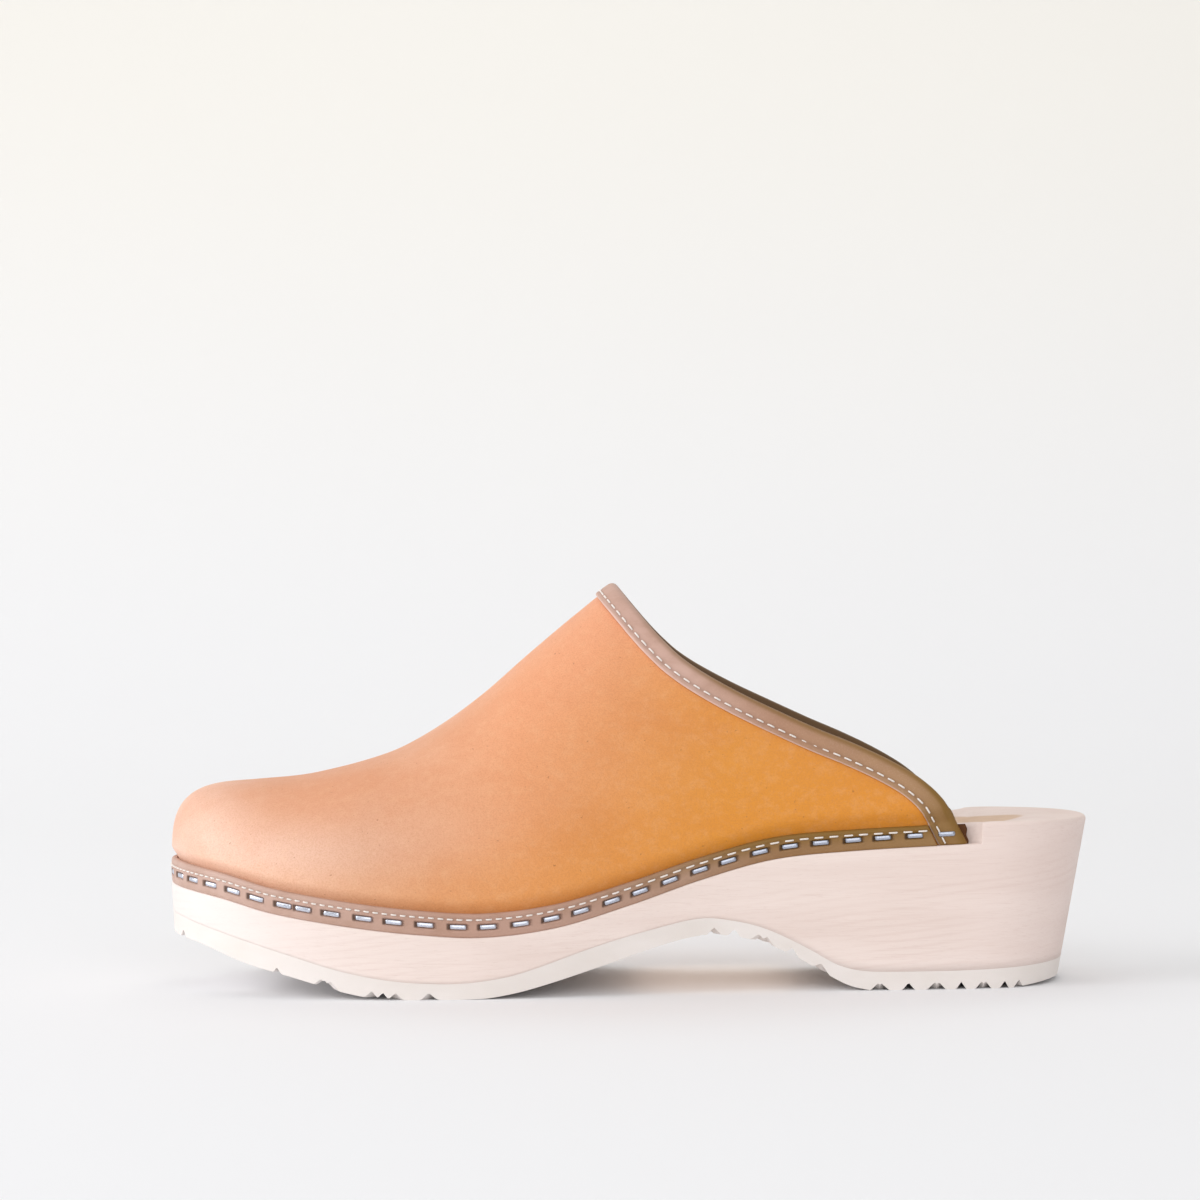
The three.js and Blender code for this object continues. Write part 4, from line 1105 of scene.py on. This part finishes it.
def welt_strip():
    count = 1500
    even, lengths, position = strip_path(count)
    along = np.linspace(0, lengths[-1], count)
    x = station_x(np.abs(even) * station_of(STRIP_END_X))
    height = strip_height(x)
    stitch_up = stitch_row_height(x)
    staple_up = staple_row_height(x)
    centres = []
    for side in (LATERAL, MEDIAL):
        for t in staple_places(side)[:-1]:
            centres.append(np.interp(side * t / station_of(STRIP_END_X), position, lengths))
    centres = np.array(centres)
    nearest = centres[np.argmin(np.abs(along[:, None] - centres[None, :]), axis=1)]
    from_staple = np.abs(along - nearest)
    toe_side = (along - nearest) * np.sign(even) < 0
    leg_dark = np.where(toe_side, 1.0, 0.45)
    stitch_phase = np.abs(np.sin(np.pi * along / PUCKER_PITCH))
    rows_up = np.concatenate([[0.02, 0.25], np.linspace(0.6, 5.0, 19), [5.35, 5.7]])
    loops, shades, olives = [], [], []
    rear = smooth_step(-40, 40, x)

    def add(inset, up, shade=0.0):
        loops.append(strip_point(even, inset, up))
        shades.append(np.broadcast_to(shade, (count,)))
        olives.append(rear * (0.58 + 0.36 * smooth_step(0.25, 0.85, up / height)))

    add(STRIP_THICKNESS, 0.02 + 0 * x)
    for up in rows_up:
        level = up * height / STRIP_ROWS_HEIGHT
        edge = 0.35 * math.exp(-up / 0.25)
        slot_u = smooth_step(2.2, 3.05, from_staple)
        slot_v = smooth_step(0.62, 1.05, np.abs(level - staple_up))
        slot = (1 - slot_u) * (1 - slot_v)
        rim = np.exp(-((np.hypot(np.maximum(0, from_staple - 2.3),
                                 np.maximum(0, np.abs(level - staple_up) - 0.7)) - 0.75) / 0.35) ** 2)
        seam = np.exp(-((level - stitch_up) / 0.4) ** 2)
        inset = edge + 0.95 * slot - 0.07 * rim + seam * (0.12 + 0.1 * (1 - stitch_phase))
        inset = inset + 0.06 * soft_noise(along * 0.12, level * 0.5, 5.0)
        hole = (1 - smooth_step(0.1, 0.55, np.abs(from_staple - 2.75))) * (1 - slot_v) * leg_dark
        add(inset, level, np.clip(0.16 * slot + 0.8 * hole, 0, 1) + 0.12 * seam * (1 - slot))
    for share, inset in ((0.9, 0.05), (0.95, 0.15), (0.985, 0.4), (1.0, 0.8), (1.0, 1.3)):
        add(inset + 0.04 * soft_noise(along * 0.3, along * 0, 2.0), share * height)
    add(STRIP_THICKNESS, 0.97 * height)
    points = np.stack(loops, axis=1)
    rows, columns = points.shape[:2]
    faces = grid_faces(rows, columns, wrap=True)
    first, last = end_caps(rows, columns)
    faces += [first[::-1], last]
    piece = new_piece("clog_welt_strip", points, faces, TRIM, ["welt_strip"])
    add_attribute(piece, "shade", np.stack(shades, axis=1))
    add_attribute(piece, "olive", np.stack(olives, axis=1))
    path = strip_point(even, 0.12, stitch_up)
    outer = strip_point(even, -1.0, stitch_up)
    middles, ways, ups, pitch = stitch_frames(path, outer, stitch_pitch(x))
    stitch_row("clog_welt_stitches", middles, ways, ups, pitch * WELT_STITCH_SHARE, ["welt_thread"])


# ---------- Stage: camera, floor and light ----------

LENS, SENSOR = 122.1, 36
CAMERA_X = -7.6                         # millimetres, before the frame's shift
CAMERA_Y, CAMERA_Z = -1.15, 0.1273      # metres
CAMERA_DOWN, CAMERA_TILT = 0.985, 0.42  # degrees


def camera():
    data = bpy.data.cameras.new("camera")
    data.lens = LENS
    data.sensor_width = SENSOR
    data.clip_end = 20
    eye = bpy.data.objects.new("camera", data)
    eye.location = ((CAMERA_X + FRAME_SHIFT) * MM, CAMERA_Y, CAMERA_Z)
    eye.rotation_euler = Euler((math.radians(90 - CAMERA_DOWN), math.radians(CAMERA_TILT), 0), "XYZ")
    SCENE.collection.objects.link(eye)
    SCENE.camera = eye


def paper_material():
    n = Nodes("pale_paper")
    cloud = n.noise((0.002, 0.002, 0.002), 2)
    height = n.band(n.place()["Z"], 0, 500)
    tone = n.mix(height, srgb(239, 240, 243), srgb(241, 239, 234))
    colour = n.mix(n.band(cloud, 0.3, 0.7, 0.0, 0.04), tone, srgb(252, 252, 252))
    return n.finish(colour, 0.9, Specular_IOR_Level=0.1)


def floor():
    """A pale paper sweep: flat under the clog, rising softly far behind it."""
    profile = [(-3.0, 0.0), (0.6, 0.0)]
    for a in np.linspace(0, 90, 14)[1:]:
        rad = math.radians(a)
        profile.append((0.6 + 1.4 * math.sin(rad), 1.4 - 1.4 * math.cos(rad)))
    profile.append((2.0, 4.0))
    points = [(side * 4.0, y, z) for y, z in profile for side in (-1, 1)]
    faces = [[2 * i, 2 * i + 1, 2 * i + 3, 2 * i + 2] for i in range(len(profile) - 1)]
    mesh = bpy.data.meshes.new("floor")
    mesh.from_pydata(points, [], faces)
    mesh.polygons.foreach_set("use_smooth", [True] * len(faces))
    mesh.materials.append(paper_material())
    sweep = bpy.data.objects.new("floor", mesh)
    SCENE.collection.objects.link(sweep)


def soft_light(name, place, size, power, colour, target=(0, 0, 0.04)):
    data = bpy.data.lights.new(name, "AREA")
    data.shape = "RECTANGLE"
    data.size, data.size_y = size
    data.energy = power
    data.color = colour
    lamp = bpy.data.objects.new(name, data)
    lamp.location = place
    lamp.rotation_euler = (Vector(target) - Vector(place)).to_track_quat("-Z", "Y").to_euler()
    SCENE.collection.objects.link(lamp)


ARCH_X, TOE_GAP_X = 0.024, -0.112


def lights():
    """The room's soft lights, and two faint ones under the clog for light off the floor."""
    soft_light("front", (0.2, -2.6, 0.9), (2.2, 1.6), 18.5, (1.0, 0.995, 0.985))
    soft_light("window", (-1.6, -0.9, 1.0), (1.2, 1.2), 7.5, (1.0, 0.995, 1.0))
    soft_light("low_window", (-1.9, -0.2, 0.5), (1.2, 1.0), 14, (1.0, 0.995, 1.0))
    soft_light("overhead", (0.0, -0.2, 2.2), (2.4, 2.4), 6, (1.0, 0.995, 0.985))
    soft_light("sweep", (0.0, 1.3, 1.6), (1.8, 1.0), 5.6, (1.0, 0.98, 0.95))
    soft_light("arch_fill", (ARCH_X, 0, 0.0072), (0.044, 0.075), 0.0027, (1.0, 0.74, 0.56),
               (ARCH_X, 0, 0))
    soft_light("toe_fill", (TOE_GAP_X, 0, 0.0066), (0.024, 0.05), 0.0007, (0.96, 0.96, 1.0),
               (TOE_GAP_X, 0, 0))
    world = bpy.data.worlds.new("room")
    world.use_nodes = True
    shade = world.node_tree.nodes["Background"]
    shade.inputs["Color"].default_value = (1.0, 0.99, 0.98, 1)
    shade.inputs["Strength"].default_value = 0.585
    SCENE.world = world
    SCENE.view_settings.view_transform = "Standard"


camera()
wooden_sole()
rubber_outsole()
leather_upper()
toe_puff()
collar_binding()
lining_ends()
welt_strip()
staples()
floor()
lights()
